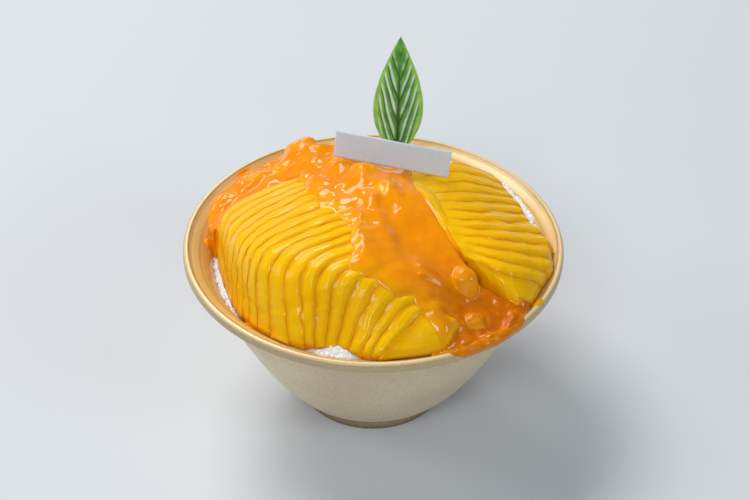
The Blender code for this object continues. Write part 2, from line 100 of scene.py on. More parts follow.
CHEEK_WIDTH = 10.0
CUBES = ((-66, 29, 8, 20), (-57, 42, 9, 50), (-42, 47, 10, 10), (-27, 44, 11, 35), (-46, 56, 7, 70),
         (-31, 59, 15, 40), (-14, 56, 10, 15), (-13, 32, 11, 60), (-4, 18, 11, 25), (5, 3, 10, 50),
         (0, 48, 9, 30))
LUMPS = ((41.5, -45, 6.4, 8.2), (46, -62, 5.4, 5.2))

SAUCE_BACK_BANK = ((-79, 6), (-79, 24), (-71, 44), (-56, 61), (-36, 69), (-8, 65), (18, 45), (18.5, 18),
                   (29, -8), (37, -25), (47, -41), (60, -49), (72, -47))
SAUCE_MIDDLE = ((-76, 1), (-75, 17), (-66, 32), (-52, 45), (-36, 49), (-17, 31), (3, 11), (3, -13),
                (9, -34), (19, -47), (36, -58), (50, -65), (59, -68))
SAUCE_FRONT_BANK = ((-73, -4), (-70, 10), (-60, 21), (-48, 26), (-36, 24), (-26, -7), (-12, -26),
                    (-11, -44), (-8, -57), (6, -65), (18, -65), (27, -75), (30, -83))
SAUCE_THICKNESS = (2.5, 3.0, 3.5, 4.0, 5.0, 6.0, 7.0, 6.0, 5.0, 4.5, 4.5, 3.5, 2.5)
SAUCE_REACH = 88.5
SAUCE_POOL = (27, -50, 15, 10, 3.5)
SAUCE_FOLDS = ((19, 31, -49.0), (19, 36, -54.5))

CARD_SIZE = (56.0, 0.6, 13.5)
CARD_CENTRE = (8.3, 24.2, 121.8)
CARD_TURN = math.radians(-13)
CARD_DROP = math.radians(3)
CARD_LEAN = math.radians(-13)
LEAF_BASE = (10.5, 28.5, 111.0)
LEAF_LENGTH = 65.0
LEAF_HALF_WIDTH = 12.0
LEAF_STALK = 0.13
LEAF_STALK_HALF_WIDTH = 0.8
LEAF_THICKNESS = 0.7
LEAF_LEAN = math.radians(8)
LEAF_FOLD = 0.28
LEAF_BEND = 3.0
LEAF_SWAY = 1.0

# Height map over the plan
MAP_CELL = 0.5
MAP_HALF = 95.0

# ---------------------------------------------------------------- numbers to shapes


def steady_slopes(knots, points):
    """Harmonic mean of the slopes on both sides of each knot, or zero at a turning point."""
    steps = np.diff(points, axis=0) / np.diff(knots)[:, None]
    before, after = steps[:-1], steps[1:]
    same_way = before * after > 0
    total = np.where(same_way, before + after, 1)
    inner = np.where(same_way, 2 * before * after / total, 0)
    return np.concatenate([steps[:1], inner, steps[-1:]])


def spline(knots, points, at, steady=False):
    """Cubic Hermite curve through the points at the knots: blends of the end points and end slopes of each span."""
    knots = np.asarray(knots, float)
    points = np.asarray(points, float)
    at = np.asarray(at, float)
    slopes = steady_slopes(knots, points) if steady else np.gradient(points, knots, axis=0)
    cell = np.clip(np.searchsorted(knots, at, side="right") - 1, 0, len(knots) - 2)
    width = (knots[cell + 1] - knots[cell])[..., None]
    u = (at - knots[cell])[..., None] / width
    start = (1 + 2 * u) * (1 - u) ** 2 * points[cell] + u * (1 - u) ** 2 * width * slopes[cell]
    end = u * u * (3 - 2 * u) * points[cell + 1] - u * u * (1 - u) * width * slopes[cell + 1]
    return start + end


def smooth_step(x):
    """0 below 0, 1 above 1 and 3x^2 - 2x^3 between."""
    x = np.clip(x, 0, 1)
    return x * x * (3 - 2 * x)


def waves(points, length, seed, count=12):
    """Smooth seeded unevenness, mostly between -1 and 1: sines of about that wavelength in mixed directions."""
    draw = np.random.default_rng(seed)
    ways = draw.normal(size=(count, points.shape[-1]))
    ways *= 2 * np.pi / length * draw.uniform(0.7, 1.5, (count, 1)) / np.linalg.norm(ways, axis=1, keepdims=True)
    phase = draw.uniform(0, 2 * np.pi, count)
    return np.sin(points @ ways.T + phase).sum(-1) / math.sqrt(2 * count)


def grid_faces(rows, columns, wrap=False):
    """Corner numbers of the quads of a grid, whose last column joins the first when it wraps."""
    r, c = np.meshgrid(np.arange(rows - 1), np.arange(columns if wrap else columns - 1), indexing="ij")
    after = (c + 1) % columns
    quads = np.stack([r * columns + c, r * columns + after, (r + 1) * columns + after, (r + 1) * columns + c], -1)
    return quads.reshape(-1, 4)


def make_piece(name, points, faces, material, nodes=(), uv=None, masks=None, recalc=True):
    """A piece from arrays of points in millimetres and quads: doubles merged, faces outwards, shaded smooth."""
    points = np.asarray(points, float).reshape(-1, 3)
    faces = np.asarray(faces, int)
    mesh = bpy.data.meshes.new(name)
    mesh.vertices.add(len(points))
    mesh.vertices.foreach_set("co", (points * MM).ravel())
    mesh.loops.add(faces.size)
    mesh.loops.foreach_set("vertex_index", faces.ravel())
    mesh.polygons.add(len(faces))
    mesh.polygons.foreach_set("loop_start", np.arange(len(faces)) * faces.shape[1])
    if uv is not None:
        layer = mesh.uv_layers.new(name="flow")
        layer.data.foreach_set("uv", np.asarray(uv, float).reshape(-1, 2)[faces.ravel()].ravel())
    for key, values in (masks or {}).items():
        mesh.attributes.new(key, "FLOAT", "POINT").data.foreach_set("value", np.asarray(values, float).ravel())
    mesh.update(calc_edges=True)
    shape = bmesh.new()
    shape.from_mesh(mesh)
    bmesh.ops.remove_doubles(shape, verts=shape.verts, dist=1e-6)
    if recalc:
        bmesh.ops.recalc_face_normals(shape, faces=shape.faces)
    shape.to_mesh(mesh)
    shape.free()
    mesh.shade_smooth()
    mesh.materials.append(material)
    piece = bpy.data.objects.new(name, mesh)
    bpy.context.scene.collection.objects.link(piece)
    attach(piece, "root")
    if nodes:
        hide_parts(*nodes)
    return piece


def tube(name, rings, material, nodes=(), uv=None, masks=None):
    """A closed piece from rings of equal length: quads round each ring, and a middle point in both end rings."""
    first = rings[0].mean(0) * np.ones_like(rings[:1])
    last = rings[-1].mean(0) * np.ones_like(rings[:1])
    rows = np.concatenate([first, rings, last])
    if uv is not None:
        uv = np.concatenate([uv[:1], uv, uv[-1:]])
    masks = {key: np.concatenate([value[:1], value, value[-1:]]) for key, value in (masks or {}).items()}
    faces = grid_faces(len(rows), rings.shape[1], wrap=True)
    return make_piece(name, rows, faces, material, nodes, uv, masks)


def sheet_solid(name, top, bottom, material, nodes=(), uv=None, masks=None):
    """A closed piece between two grids of points: each row of the top goes on into the same row of the bottom."""
    rings = np.concatenate([top, bottom[:, ::-1]], axis=1)
    if uv is not None:
        uv = np.concatenate([uv, uv[:, ::-1]], axis=1)
    masks = {key: np.concatenate([value, value[:, ::-1]], axis=1) for key, value in (masks or {}).items()}
    closed = np.concatenate([rings[:1], rings, rings[-1:]])
    middle_first = np.concatenate([(top[:1] + bottom[:1]) / 2, ((top[:1] + bottom[:1]) / 2)[:, ::-1]], axis=1)
    middle_last = np.concatenate([(top[-1:] + bottom[-1:]) / 2, ((top[-1:] + bottom[-1:]) / 2)[:, ::-1]], axis=1)
    closed[0] = middle_first[0]
    closed[-1] = middle_last[0]
    if uv is not None:
        uv = np.concatenate([uv[:1], uv, uv[-1:]])
    masks = {key: np.concatenate([value[:1], value, value[-1:]]) for key, value in masks.items()}
    faces = grid_faces(len(closed), closed.shape[1], wrap=True)
    return make_piece(name, closed, faces, material, nodes, uv, masks)


# ---------------------------------------------------------------- height map


def new_map():
    """Square map of the plan with nothing on it."""
    side = int(2 * MAP_HALF / MAP_CELL) + 1
    return np.full((side, side), -np.inf)


def map_places():
    """x and y of every cell of the map."""
    side = int(2 * MAP_HALF / MAP_CELL) + 1
    line = np.arange(side) * MAP_CELL - MAP_HALF
    return np.meshgrid(line, line, indexing="ij")


def denser(grid, times):
    """The grid with more rows and columns, worked out by straight lines between its points."""
    for axis, by in enumerate(times):
        count = grid.shape[axis]
        at = np.linspace(0, count - 1, (count - 1) * by + 1)
        low = np.minimum(at.astype(int), count - 2)
        share = (at - low).reshape((-1,) + (1,) * (grid.ndim - 1))
        lined = np.moveaxis(grid, axis, 0)
        grid = np.moveaxis(lined[low] * (1 - share) + lined[low + 1] * share, 0, axis)
    return grid


def press(height_map, points):
    """Raises every cell that a point lies over to that point's height."""
    cells = np.rint((points[..., :2] + MAP_HALF) / MAP_CELL).astype(int).reshape(-1, 2)
    inside = ((cells >= 0) & (cells < len(height_map))).all(1)
    cells = cells[inside]
    np.maximum.at(height_map, (cells[:, 0], cells[:, 1]), points[..., 2].reshape(-1)[inside])


def blur(field, sigma):
    """Gaussian blur of a map: its spectrum times exp(-2 (pi sigma f)^2)."""
    sigma = sigma / MAP_CELL
    across = np.fft.fftfreq(field.shape[0])[:, None]
    along = np.fft.rfftfreq(field.shape[1])[None]
    gain = np.exp(-2 * (np.pi * sigma) ** 2 * (across**2 + along**2))
    return np.fft.irfft2(np.fft.rfft2(field) * gain, s=field.shape)


def fill_hollows(field, reach):
    """Closing of a map: the highest value within the reach all round, then the lowest of those within the reach."""
    cells = int(reach / MAP_CELL)
    for pick in (np.maximum, np.minimum):
        for axis in (0, 1):
            result = field
            for step in range(1, cells + 1):
                result = pick(result, pick(np.roll(field, step, axis), np.roll(field, -step, axis)))
            field = result
    return field


def read_map(height_map, x, y):
    """Height at x, y between the four nearest cells."""
    u = np.clip((x + MAP_HALF) / MAP_CELL, 0, len(height_map) - 1.001)
    v = np.clip((y + MAP_HALF) / MAP_CELL, 0, len(height_map) - 1.001)
    i, j = u.astype(int), v.astype(int)
    a, b = u - i, v - j
    low = height_map[i, j] * (1 - a) + height_map[i + 1, j] * a
    high = height_map[i, j + 1] * (1 - a) + height_map[i + 1, j + 1] * a
    return low * (1 - b) + high * b


# ---------------------------------------------------------------- bowl and ice


def wall_radius(z):
    """Outer radius of the wall: a mix of a steep power curve and a straight line in height."""
    u = np.clip((z - FOOT_HEIGHT) / (WALL_TOP - FOOT_HEIGHT), 0, 1)
    return WALL_START_RADIUS + (WALL_TOP_RADIUS - WALL_START_RADIUS) * (0.69 * u**0.46 + 0.31 * u)


def arc(centre_r, centre_z, radius, start, stop, count):
    """Points on a circle in the section, from one angle in degrees to another."""
    turn = np.radians(np.linspace(start, stop, count))
    return np.stack([centre_r + radius * np.cos(turn), centre_z + radius * np.sin(turn)], 1)


def inside_section():
    """Inside of the bowl from its middle to the bead: flat floor, rounded corner, wall and a flare below the bead."""
    floor = np.stack([np.linspace(0, FLOOR_RADIUS - 3, 12), np.full(12, FLOOR_HEIGHT)], 1)
    heights = np.linspace(FLOOR_HEIGHT + 1.5, WALL_TOP - 3, 46)
    wall = np.stack([wall_radius(heights) - WALL_THICKNESS, heights], 1)
    flare_knots = np.array([wall[-1], (80.2, 83.0), (81.7, 84.5), (83.6, 85.75), (86.0, 86.75)])
    flare = spline(np.arange(5), flare_knots, np.linspace(0, 4, 21)[1:])
    return np.concatenate([floor, wall, flare])


def lip_section():
    """Bead and band: a small groove, a round bead, an upright band with a soft lower edge and a step back under it."""
    centre = (RIM_RADIUS - BEAD_RADIUS, RIM_HEIGHT - BEAD_RADIUS)
    bead = arc(*centre, BEAD_RADIUS, 158, 0, 24)
    band = np.stack([np.full(5, RIM_RADIUS), np.linspace(centre[1] - 0.5, LIP_BOTTOM + 0.9, 5)], 1)
    edge = arc(RIM_RADIUS - 0.8, LIP_BOTTOM + 0.8, 0.8, 0, -90, 6)
    under = np.array([(86.8, 83.75), (84.6, 83.6), (83.1, 83.3)])
    return np.concatenate([bead, band, edge, under])


def outside_section():
    """Outside from under the lip to the middle of the foot, with a hollow where the wall meets the foot ring."""
    heights = FOOT_HEIGHT + (WALL_TOP - FOOT_HEIGHT) * np.linspace(1, 0.055, 60) ** 1.5
    wall = np.stack([wall_radius(heights), heights], 1)
    fillet = np.array([(FOOT_RADIUS + 0.6, FOOT_HEIGHT + 0.5), (FOOT_RADIUS + 0.15, FOOT_HEIGHT - 0.1)])
    side = np.stack([np.full(4, FOOT_RADIUS), np.linspace(FOOT_HEIGHT - 0.6, 1.0, 4)], 1)
    edge = arc(FOOT_RADIUS - 0.7, 0.7, 0.7, 0, -90, 6)
    ring = FOOT_RADIUS - FOOT_RING_WIDTH
    inner = arc(ring + 0.6, 0.6, 0.6, -90, -180, 5)
    recess = np.stack([np.linspace(ring - 0.3, 0, 8), np.full(8, FOOT_RECESS)], 1)
    wall = wall[wall[:, 0] > FOOT_RADIUS + 0.6]
    return np.concatenate([wall, fillet, side, edge, inner, recess])


def bank_height(angle, bank):
    """Extra height of the ice's edge: a bump exp(-(angle away / spread)^2)."""
    middle, spread, height = bank
    away = (angle - middle + math.pi) % (2 * math.pi) - math.pi
    return height * np.exp(-((away / spread) ** 2))


def ice_top(x, y):
    """Top of the ice: edge height plus a parabola of the radius, less a round hollow at the back left."""
    angle = np.arctan2(y, x)
    edge = ICE_EDGE + sum(bank_height(angle, bank) for bank in (FRONT_BANK, BACK_BANK, LEFT_DIP))
    reach = np.clip(np.hypot(x, y) / ICE_RADIUS, 0, 1)
    hollow_x, hollow_y, spread, depth = HOLLOW
    hollow = depth * np.exp(-((x - hollow_x) ** 2 + (y - hollow_y) ** 2) / spread**2)
    return edge + (ICE_CROWN - edge) * (1 - reach**2) - hollow


def bowl_inside(x, y):
    """Height of the bowl's inside, lip and all, at x, y."""
    section = np.concatenate([inside_section(), lip_section()[:14]])
    return np.interp(np.hypot(x, y), section[:, 0], section[:, 1])


def food_floor(x, y):
    """Lowest height for a piece at x, y: the ice or the bowl's inside, whichever is higher."""
    return np.maximum(ice_top(x, y), bowl_inside(x, y)) + TOUCH


def turned(section, segments):
    """The section carried once round the axis: x = r cos t, y = r sin t, z = z."""
    angle = np.arange(segments) * 2 * np.pi / segments
    x = section[:, None, 0] * np.cos(angle)
    y = section[:, None, 0] * np.sin(angle)
    z = section[:, None, 1] * np.ones(segments)
    return np.stack([x, y, z], -1)


def make_bowl(material):
    """Turned bowl with a bead lip; the inside mask tells the inside glaze from the outside one, and the foot, groove,
    bead and band masks place painted shade and painted highlights.
    """
    section = np.concatenate([inside_section(), lip_section(), outside_section()])
    inside = np.concatenate([np.ones(len(inside_section())), np.linspace(1, 0, len(lip_section())) ** 0.6,
                             np.zeros(len(outside_section()))])
    grid = turned(section, 288)
    mask = inside[:, None] * np.ones(288)
    # Painted shade on the foot ring, darkest at the bottom as a painted contact shadow.
    foot = smooth_step((FOOT_HEIGHT + 0.9 - grid[..., 2]) / 0.8) * (1 - mask)
    foot *= 0.66 + 0.34 * smooth_step((3.4 - grid[..., 2]) / 3.4)
    radius = np.hypot(grid[..., 0], grid[..., 1])
    above = grid[..., 2] > LIP_BOTTOM
    # Painted shade lines on the bead's inner shoulder and low on the inner flare.
    groove = np.exp(-(((radius - 87.3) / 0.45) ** 2)) * above + 0.5 * np.exp(-(((radius - 82.2) / 0.5) ** 2)) * above
    # Painted highlights on the bead's crest and where the bead meets the inner flare.
    bead = np.exp(-(((radius - 88.4) / 0.55) ** 2)) * above + 0.8 * np.exp(-(((radius - 86.3) / 0.5) ** 2)) * above
    # Painted shade on the outer band under the bead.
    band = smooth_step((radius - 89.0) / 0.5) * smooth_step((88.2 - grid[..., 2]) / 0.8) * above
    faces = grid_faces(len(section), 288, wrap=True)
    return make_piece("bowl_glazed", grid, faces, material, ["bowl"],
                      masks={"inside": mask, "foot": foot, "groove": groove, "bead": bead, "band": band})


def snow_relief(points):
    """Uneven heaped snow: broad swells, lumps and crumbs, each a sum of waves."""
    swell = 0.5 * waves(points, 16, 11)
    lumps = 0.45 * np.abs(waves(points, 7, 12))
    crumbs = 0.3 * waves(points, 3.2, 13)
    return swell + lumps + crumbs


def make_ice(material):
    """Core of the ice: the dome with a snowy relief, and under it the bowl's inside less a clearance."""
    segments = 400
    angle = np.arange(segments) * 2 * np.pi / segments
    across, ahead = np.cos(angle), np.sin(angle)
    section = inside_section()
    radii, heights = section[12:].T
    edge = np.full(segments, SHORE_RADIUS)
    for _ in range(5):
        edge = np.interp(ice_top(across * edge, ahead * edge), heights, radii) - 0.5
    reach = np.linspace(0, 1, 150)[:, None] ** 0.8
    x, y = across * edge * reach, ahead * edge * reach
    z = ice_top(x, y)
    plan = np.stack([x, y, z], -1)
    z = z - 0.6 + snow_relief(plan) * smooth_step((1 - reach) * 12 + 0.25)
    top = np.stack([x, y, z], -1)
    down = np.linspace(0, 1, 14)[1:, None]
    low = z[-1] + (FLOOR_HEIGHT + 0.6 - z[-1]) * down
    radius = np.interp(low, heights, radii) - 0.7
    radius[-1] = FLOOR_RADIUS - 3
    side = np.stack([across * radius, ahead * radius, low], -1)
    grid = np.concatenate([top, side, side[-1:] * (0.0, 0.0, 1.0)])
    faces = grid_faces(len(grid), segments, wrap=True)
    return make_piece("shaved_ice_core", grid, faces, material, ["shaved_ice"])


def make_ice_grains(height_map, material):
    """Loose ice: small faceted crystals, each a squashed and turned octahedron with cut corners, where ice shows."""
    draw = np.random.default_rng(21)
    count, front_count = 60000, 4500
    angle = draw.uniform(0, 2 * np.pi, count)
    radius = 83.5 * np.sqrt(draw.uniform(0.25, 1.0, count))
    angle[:front_count] = draw.normal(FRONT_BANK[0], 0.12, front_count)
    radius[:front_count] = draw.uniform(68, 83, front_count)
    x, y = radius * np.cos(angle), radius * np.sin(angle)
    level = ice_top(x, y)
    bare = read_map(height_map, x, y) < level + 1.6
    wall = bowl_inside(x, y) < level - 0.4
    keep = np.flatnonzero(bare & wall)[:8000]
    x, y, level = x[keep], y[keep], level[keep]
    size = 0.35 + 0.75 * draw.uniform(0, 1, len(keep)) ** 2.0
    size[keep < front_count] *= 1.7
    ring = np.radians(np.arange(0, 360, 72))
    low_ring = np.stack([0.9 * np.cos(ring), 0.9 * np.sin(ring), np.full(5, -0.45)], 1)
    high_ring = np.stack([0.9 * np.cos(ring + 0.63), 0.9 * np.sin(ring + 0.63), np.full(5, 0.45)], 1)
    seed_shape = np.concatenate([[(0, 0, -1.0)], low_ring, high_ring, [(0, 0, 1.0)]])
    i = np.arange(5)
    j = (i + 1) % 5
    bottom = np.stack([np.zeros(5, int), 1 + j, 1 + i], 1)
    belt_a = np.stack([1 + i, 1 + j, 6 + i], 1)
    belt_b = np.stack([1 + j, 6 + j, 6 + i], 1)
    cap = np.stack([6 + i, 6 + j, np.full(5, 11)], 1)
    seed_faces = np.concatenate([bottom, belt_a, belt_b, cap])
    wobble = 1 + draw.uniform(-0.28, 0.28, (len(keep), 12, 1))
    stretch = draw.uniform(0.6, 1.3, (len(keep), 1, 3))
    axes = np.linalg.qr(draw.normal(size=(len(keep), 3, 3)))[0]
    axes *= np.sign(np.linalg.det(axes))[:, None, None]
    crystals = (seed_shape * wobble * stretch) @ axes * size[:, None, None]
    place = np.stack([x, y, level - 0.9 + snow_relief(np.stack([x, y, level], -1)) + size * 0.3], 1)
    points = crystals + place[:, None]
    faces = seed_faces + 12 * np.arange(len(keep))[:, None, None]
    piece = make_piece("shaved_ice_grains", points, faces.reshape(-1, 3), material, recalc=False)
    piece.data.shade_flat()
    return piece


# ---------------------------------------------------------------- mango


def level_curve(curve):
    """Unit vector across a curve in plan, to its left."""
    along = np.gradient(curve[:, :2], axis=0)
    along /= np.hypot(along[:, 0], along[:, 1])[:, None]
    return np.stack([-along[:, 1], along[:, 0], 0 * along[:, 0]], 1)


def sheet_of(guides, knots, cut, steps):
    """One cut through a fanned cheek: a curve over the guides at that cut's place, wavering a little in plan."""
    posts = np.array([spline(knots, guide, np.array([cut]), steady=True)[0] for guide in guides])
    curve = spline(np.linspace(0, 1, len(guides)), posts, steps)
    waver = 0.45 * waves(curve, 15, 71) + 0.16 * waves(curve, 5, 72)
    return curve + level_curve(curve) * (waver * smooth_step(steps * 12) * smooth_step((1 - steps) * 12))[:, None]


def slice_rings(guides, knots, first, last, relief, seed, rows=130, rounded=(True, True), ridged=0.0, trim=(0, 0)):
    """Rings of a mango slice between two cuts, its top points, its own coordinates and its masks of painted shade.

    Across the top, w goes from 0 to 1 and the height is relief (sin(pi w^1.7) - 1) above the cuts' curve: a ridge
    that leans to the far cut. The relief comes in after the ridged share of the length. The sides go straight
    down to the floor; the ends are rounded over 4 mm.
    """
    steps = np.linspace(trim[0], 1 - trim[1], rows)
    near = sheet_of(guides, knots, first, steps)
    far = sheet_of(guides, knots, last, steps)
    top_count = 27
    w = np.linspace(0, 1, top_count)[:, None]
    middle = near[:, None] * (1 - w) + far[:, None] * w
    tangent = np.gradient(middle, axis=0)
    run = np.hypot(tangent[..., 0], tangent[..., 1])
    length = np.hypot(run, tangent[..., 2])
    lean = np.stack([-tangent[..., 0] * tangent[..., 2], -tangent[..., 1] * tangent[..., 2], run**2], -1)
    lean /= (length * run)[..., None]
    width = np.linalg.norm((far - near)[:, :2], axis=1)[:, None]
    share = smooth_step((steps - ridged) / 0.3 + (0 if ridged else 1))[:, None]
    along = np.cumsum(length[:, top_count // 2])[:, None]
    uneven = 1 + 0.4 * waves(np.concatenate([along, np.full_like(along, seed * 7.0)], 1), 17, seed)[:, None]
    ridge = np.sin(np.pi * w[:, 0] ** 1.7)
    sunk = relief * share * uneven * (1 - ridge)
    bend = waves(np.concatenate([along, np.full_like(along, seed * 3.0)], 1), 22, seed + 50)[:, None]
    lines = 0.05 * np.sin(2 * np.pi * (w[:, 0] * width / 2.3 + 0.45 * bend)) * share
    ripple = 0.2 * waves(middle, 11, 73) + 0.05 * waves(middle, 4, seed + 200) * ridge
    top = middle + lean * (ripple + lines - sunk)[..., None]
    shift = (far - near) / np.linalg.norm(far - near, axis=1, keepdims=True)
    top -= shift[:, None] * (0.03 * (1 - 2 * w))
    start_way = along if rounded[0] else np.full_like(along, 9.0)
    end_way = along[-1] - along if rounded[1] else np.full_like(along, 9.0)
    from_end = np.minimum(start_way, end_way)
    round_end = np.sqrt(np.clip(1 - (1 - np.clip(from_end / 4, 0, 1)) ** 2, 0, 1))
    floor = food_floor(top[..., 0], top[..., 1])
    top[..., 2] = floor + 0.15 + np.maximum(top[..., 2] - floor - 0.15, 0.75) * (0.12 + 0.88 * round_end)
    drop = np.array([0.18, 0.55, 1.0])[:, None]
    left_side = top[:, :1] * np.ones((1, 3, 1))
    left_side[..., 2] += (floor[:, :1] - 0.2 - top[:, :1, 2]) * drop[:, 0]
    right_side = top[:, -1:] * np.ones((1, 3, 1))
    right_side[..., 2] += (floor[:, -1:] - 0.2 - top[:, -1:, 2]) * drop[:, 0]
    rings = np.concatenate([left_side[:, ::-1], top, right_side], axis=1)
    columns = rings.shape[1]
    flow = np.stack([along * np.ones(columns), np.linspace(0, 1, columns) * width + 11.0 * seed], -1)
    # Painted shade masks: cut darkens the step face at the far edge and the far side wall, hollow darkens the low near
    # edge and the near side wall.
    painted_step_shade = np.concatenate([np.zeros((rows, 3)), smooth_step(w[:, 0] * 4 - 3) * share, share * np.ones(3)], 1)
    painted_low_edge_shade = smooth_step(1 - w[:, 0] * 3.5) * share
    hollow = np.concatenate([np.ones((rows, 3)), painted_low_edge_shade, np.zeros((rows, 3))], 1)
    return rings, top, flow * MM, {"cut": painted_step_shade, "hollow": hollow}


def make_fan(name, guides, knots, cuts, relief, seed, material, height_map, rounded, ridged, trims):
    """All slices of one fan; the relief grows from the first to the last and each end stops a little differently."""
    draw = np.random.default_rng(seed)
    for i in range(cuts):
        depth = relief[0] + (relief[1] - relief[0]) * smooth_step(i / (cuts - 1) * 1.6)
        trim = (trims[0] * draw.uniform(), trims[1] * draw.uniform())
        rings, top, flow, masks = slice_rings(guides, knots, i, i + 1, depth, seed + i, rounded=rounded,
                                              ridged=ridged, trim=trim)
        press(height_map, denser(top, (3, 2)))
        node = f"{name}_{i + 1:02d}"
        tube(f"{node}_flesh", rings, material, [node], flow, masks)


def make_cheek(material, height_map):
    """Smooth flank of the right cheek: from its crest line the height falls as (1 - t^2.4)^0.6 towards the sauce."""
    rows, columns = 110, 61
    along = np.linspace(0, 1, rows)
    crest = spline(np.linspace(0, 1, len(CHEEK_CREST)), CHEEK_CREST, along)
    across = -level_curve(crest)[:, :2]
    fullness = (1 - np.abs(2 * along - 1) ** 3.0 * 0.75) ** 0.5
    offset = np.linspace(-0.22, 1, columns)
    x = crest[:, None, 0] - across[:, None, 0] * fullness[:, None] * offset * CHEEK_WIDTH
    y = crest[:, None, 1] - across[:, None, 1] * fullness[:, None] * offset * CHEEK_WIDTH
    floor = food_floor(x, y)
    rise = (crest[:, None, 2] - food_floor(crest[:, 0], crest[:, 1])[:, None]) * fullness[:, None]
    flank = np.maximum(1 - np.clip(offset, 0, 1) ** 2.4, 0) ** 0.6
    top = floor + 0.2 + (rise + 0.1) * flank - 1.2 * smooth_step(-offset * 6)
    grid = np.stack([x, y, top], -1)
    grid[..., 2] += 0.25 * waves(grid, 16, 31) + 0.05 * waves(grid, 6, 32)
    low = np.stack([x, y, floor - 0.3], -1)
    press(height_map, denser(grid, (2, 2)))
    flow = np.stack([along[:, None] * 75 * np.ones(columns), offset * CHEEK_WIDTH * np.ones((rows, 1))], -1)
    masks = {"cut": np.zeros((rows, columns)), "hollow": np.zeros((rows, columns))}
    sheet_solid("mango_cheek_flesh", grid, low, material, ["mango_cheek"], flow * MM, masks)


def floor_normal(x, y):
    """Upward normal of the ice dome at x, y, from its slopes."""
    slope_x = ice_top(x + 0.5, y) - ice_top(x - 0.5, y)
    slope_y = ice_top(x, y + 0.5) - ice_top(x, y - 0.5)
    normal = np.array([-slope_x, -slope_y, 1.0])
    return normal / np.linalg.norm(normal)


def block_grid(half, power, rows=37, columns=60):
    """A rounded block: on the unit sphere each coordinate becomes sign(c) |c|^power, scaled by the half size."""
    polar = np.linspace(0, np.pi, rows)[:, None]
    turn = np.arange(columns) * 2 * np.pi / columns
    ball = np.stack([np.sin(polar) * np.cos(turn), np.sin(polar) * np.sin(turn), np.cos(polar) * np.ones(columns)], -1)
    longest = np.linalg.norm(ball, ord=power, axis=-1, keepdims=True)
    return ball / longest * half


def make_cubes(material, height_map):
    """Mango cubes: blocks between a cube and a ball, each leaning with the ice under it."""
    for i, (x, y, size, turn) in enumerate(CUBES):
        grid = block_grid(size / 2, 6.0)
        grid = grid * (1 + 0.05 * waves(grid, 8, 41 + i) + 0.015 * waves(grid, 2.5, 61 + i))[..., None]
        spin = math.radians(turn)
        about = np.array([[math.cos(spin), -math.sin(spin), 0], [math.sin(spin), math.cos(spin), 0], [0, 0, 1.0]])
        normal = floor_normal(x, y)
        side = np.cross((0, 1.0, 0), normal)
        side /= np.linalg.norm(side)
        stand = np.stack([side, np.cross(normal, side), normal], 1)
        base = np.array([x, y, food_floor(np.array(float(x)), np.array(float(y)))])
        grid = grid @ (stand @ about).T + base + normal * (size / 2 + 0.25 * size)
        press(height_map, denser(grid, (3, 3)))
        node = f"mango_cube_{i + 1}"
        # The cut mask carries the painted step shade; here an even 0.3 share of it deepens the whole cube's colour.
        masks = {"cut": np.full(grid.shape[:2], 0.3), "hollow": np.zeros(grid.shape[:2])}
        faces = grid_faces(*grid.shape[:2], wrap=True)
        make_piece(f"{node}_flesh", grid, faces, material, [node], grid[..., :2] * MM, masks)


def make_lumps(material, height_map):
    """Round lumps of mango under the sauce."""
    for i, (x, y, radius, lift) in enumerate(LUMPS):
        grid = block_grid(radius, 2.4)
        grid = grid * (1 + 0.05 * waves(grid, 7, 81 + i))[..., None]
        base = food_floor(np.array(float(x)), np.array(float(y)))
        grid = grid + (x, y, base + lift)
        press(height_map, denser(grid, (3, 3)))
        node = f"mango_lump_{i + 1}"
        # The cut mask carries the painted step shade; here an even 0.2 share of it deepens the whole lump's colour.
        masks = {"cut": np.full(grid.shape[:2], 0.2), "hollow": np.zeros(grid.shape[:2])}
        faces = grid_faces(*grid.shape[:2], wrap=True)
        make_piece(f"{node}_flesh", grid, faces, material, [node], grid[..., :2] * MM, masks)


# ---------------------------------------------------------------- sauce


def sauce_plan(rows, columns, over):
    """x, y over the sauce: in every row a parabola through both banks and the middle line, run on past the banks."""
    knots = np.linspace(0, 1, len(SAUCE_MIDDLE))
    along = np.linspace(0, 1, rows)
    lines = [spline(knots, line, along) for line in (SAUCE_BACK_BANK, SAUCE_MIDDLE, SAUCE_FRONT_BANK)]
    v = np.linspace(-over, 1 + over, columns)[None, :, None]
    back, middle, front = (line[:, None] for line in lines)
    plan = back * (1 - v) * (1 - 2 * v) + middle * 4 * v * (1 - v) + front * v * (2 * v - 1)
    radius = np.linalg.norm(plan, axis=2, keepdims=True)
    return plan * np.minimum(1, SAUCE_REACH / radius), along[:, None] * np.ones(columns), v[..., 0] * 2 - 1


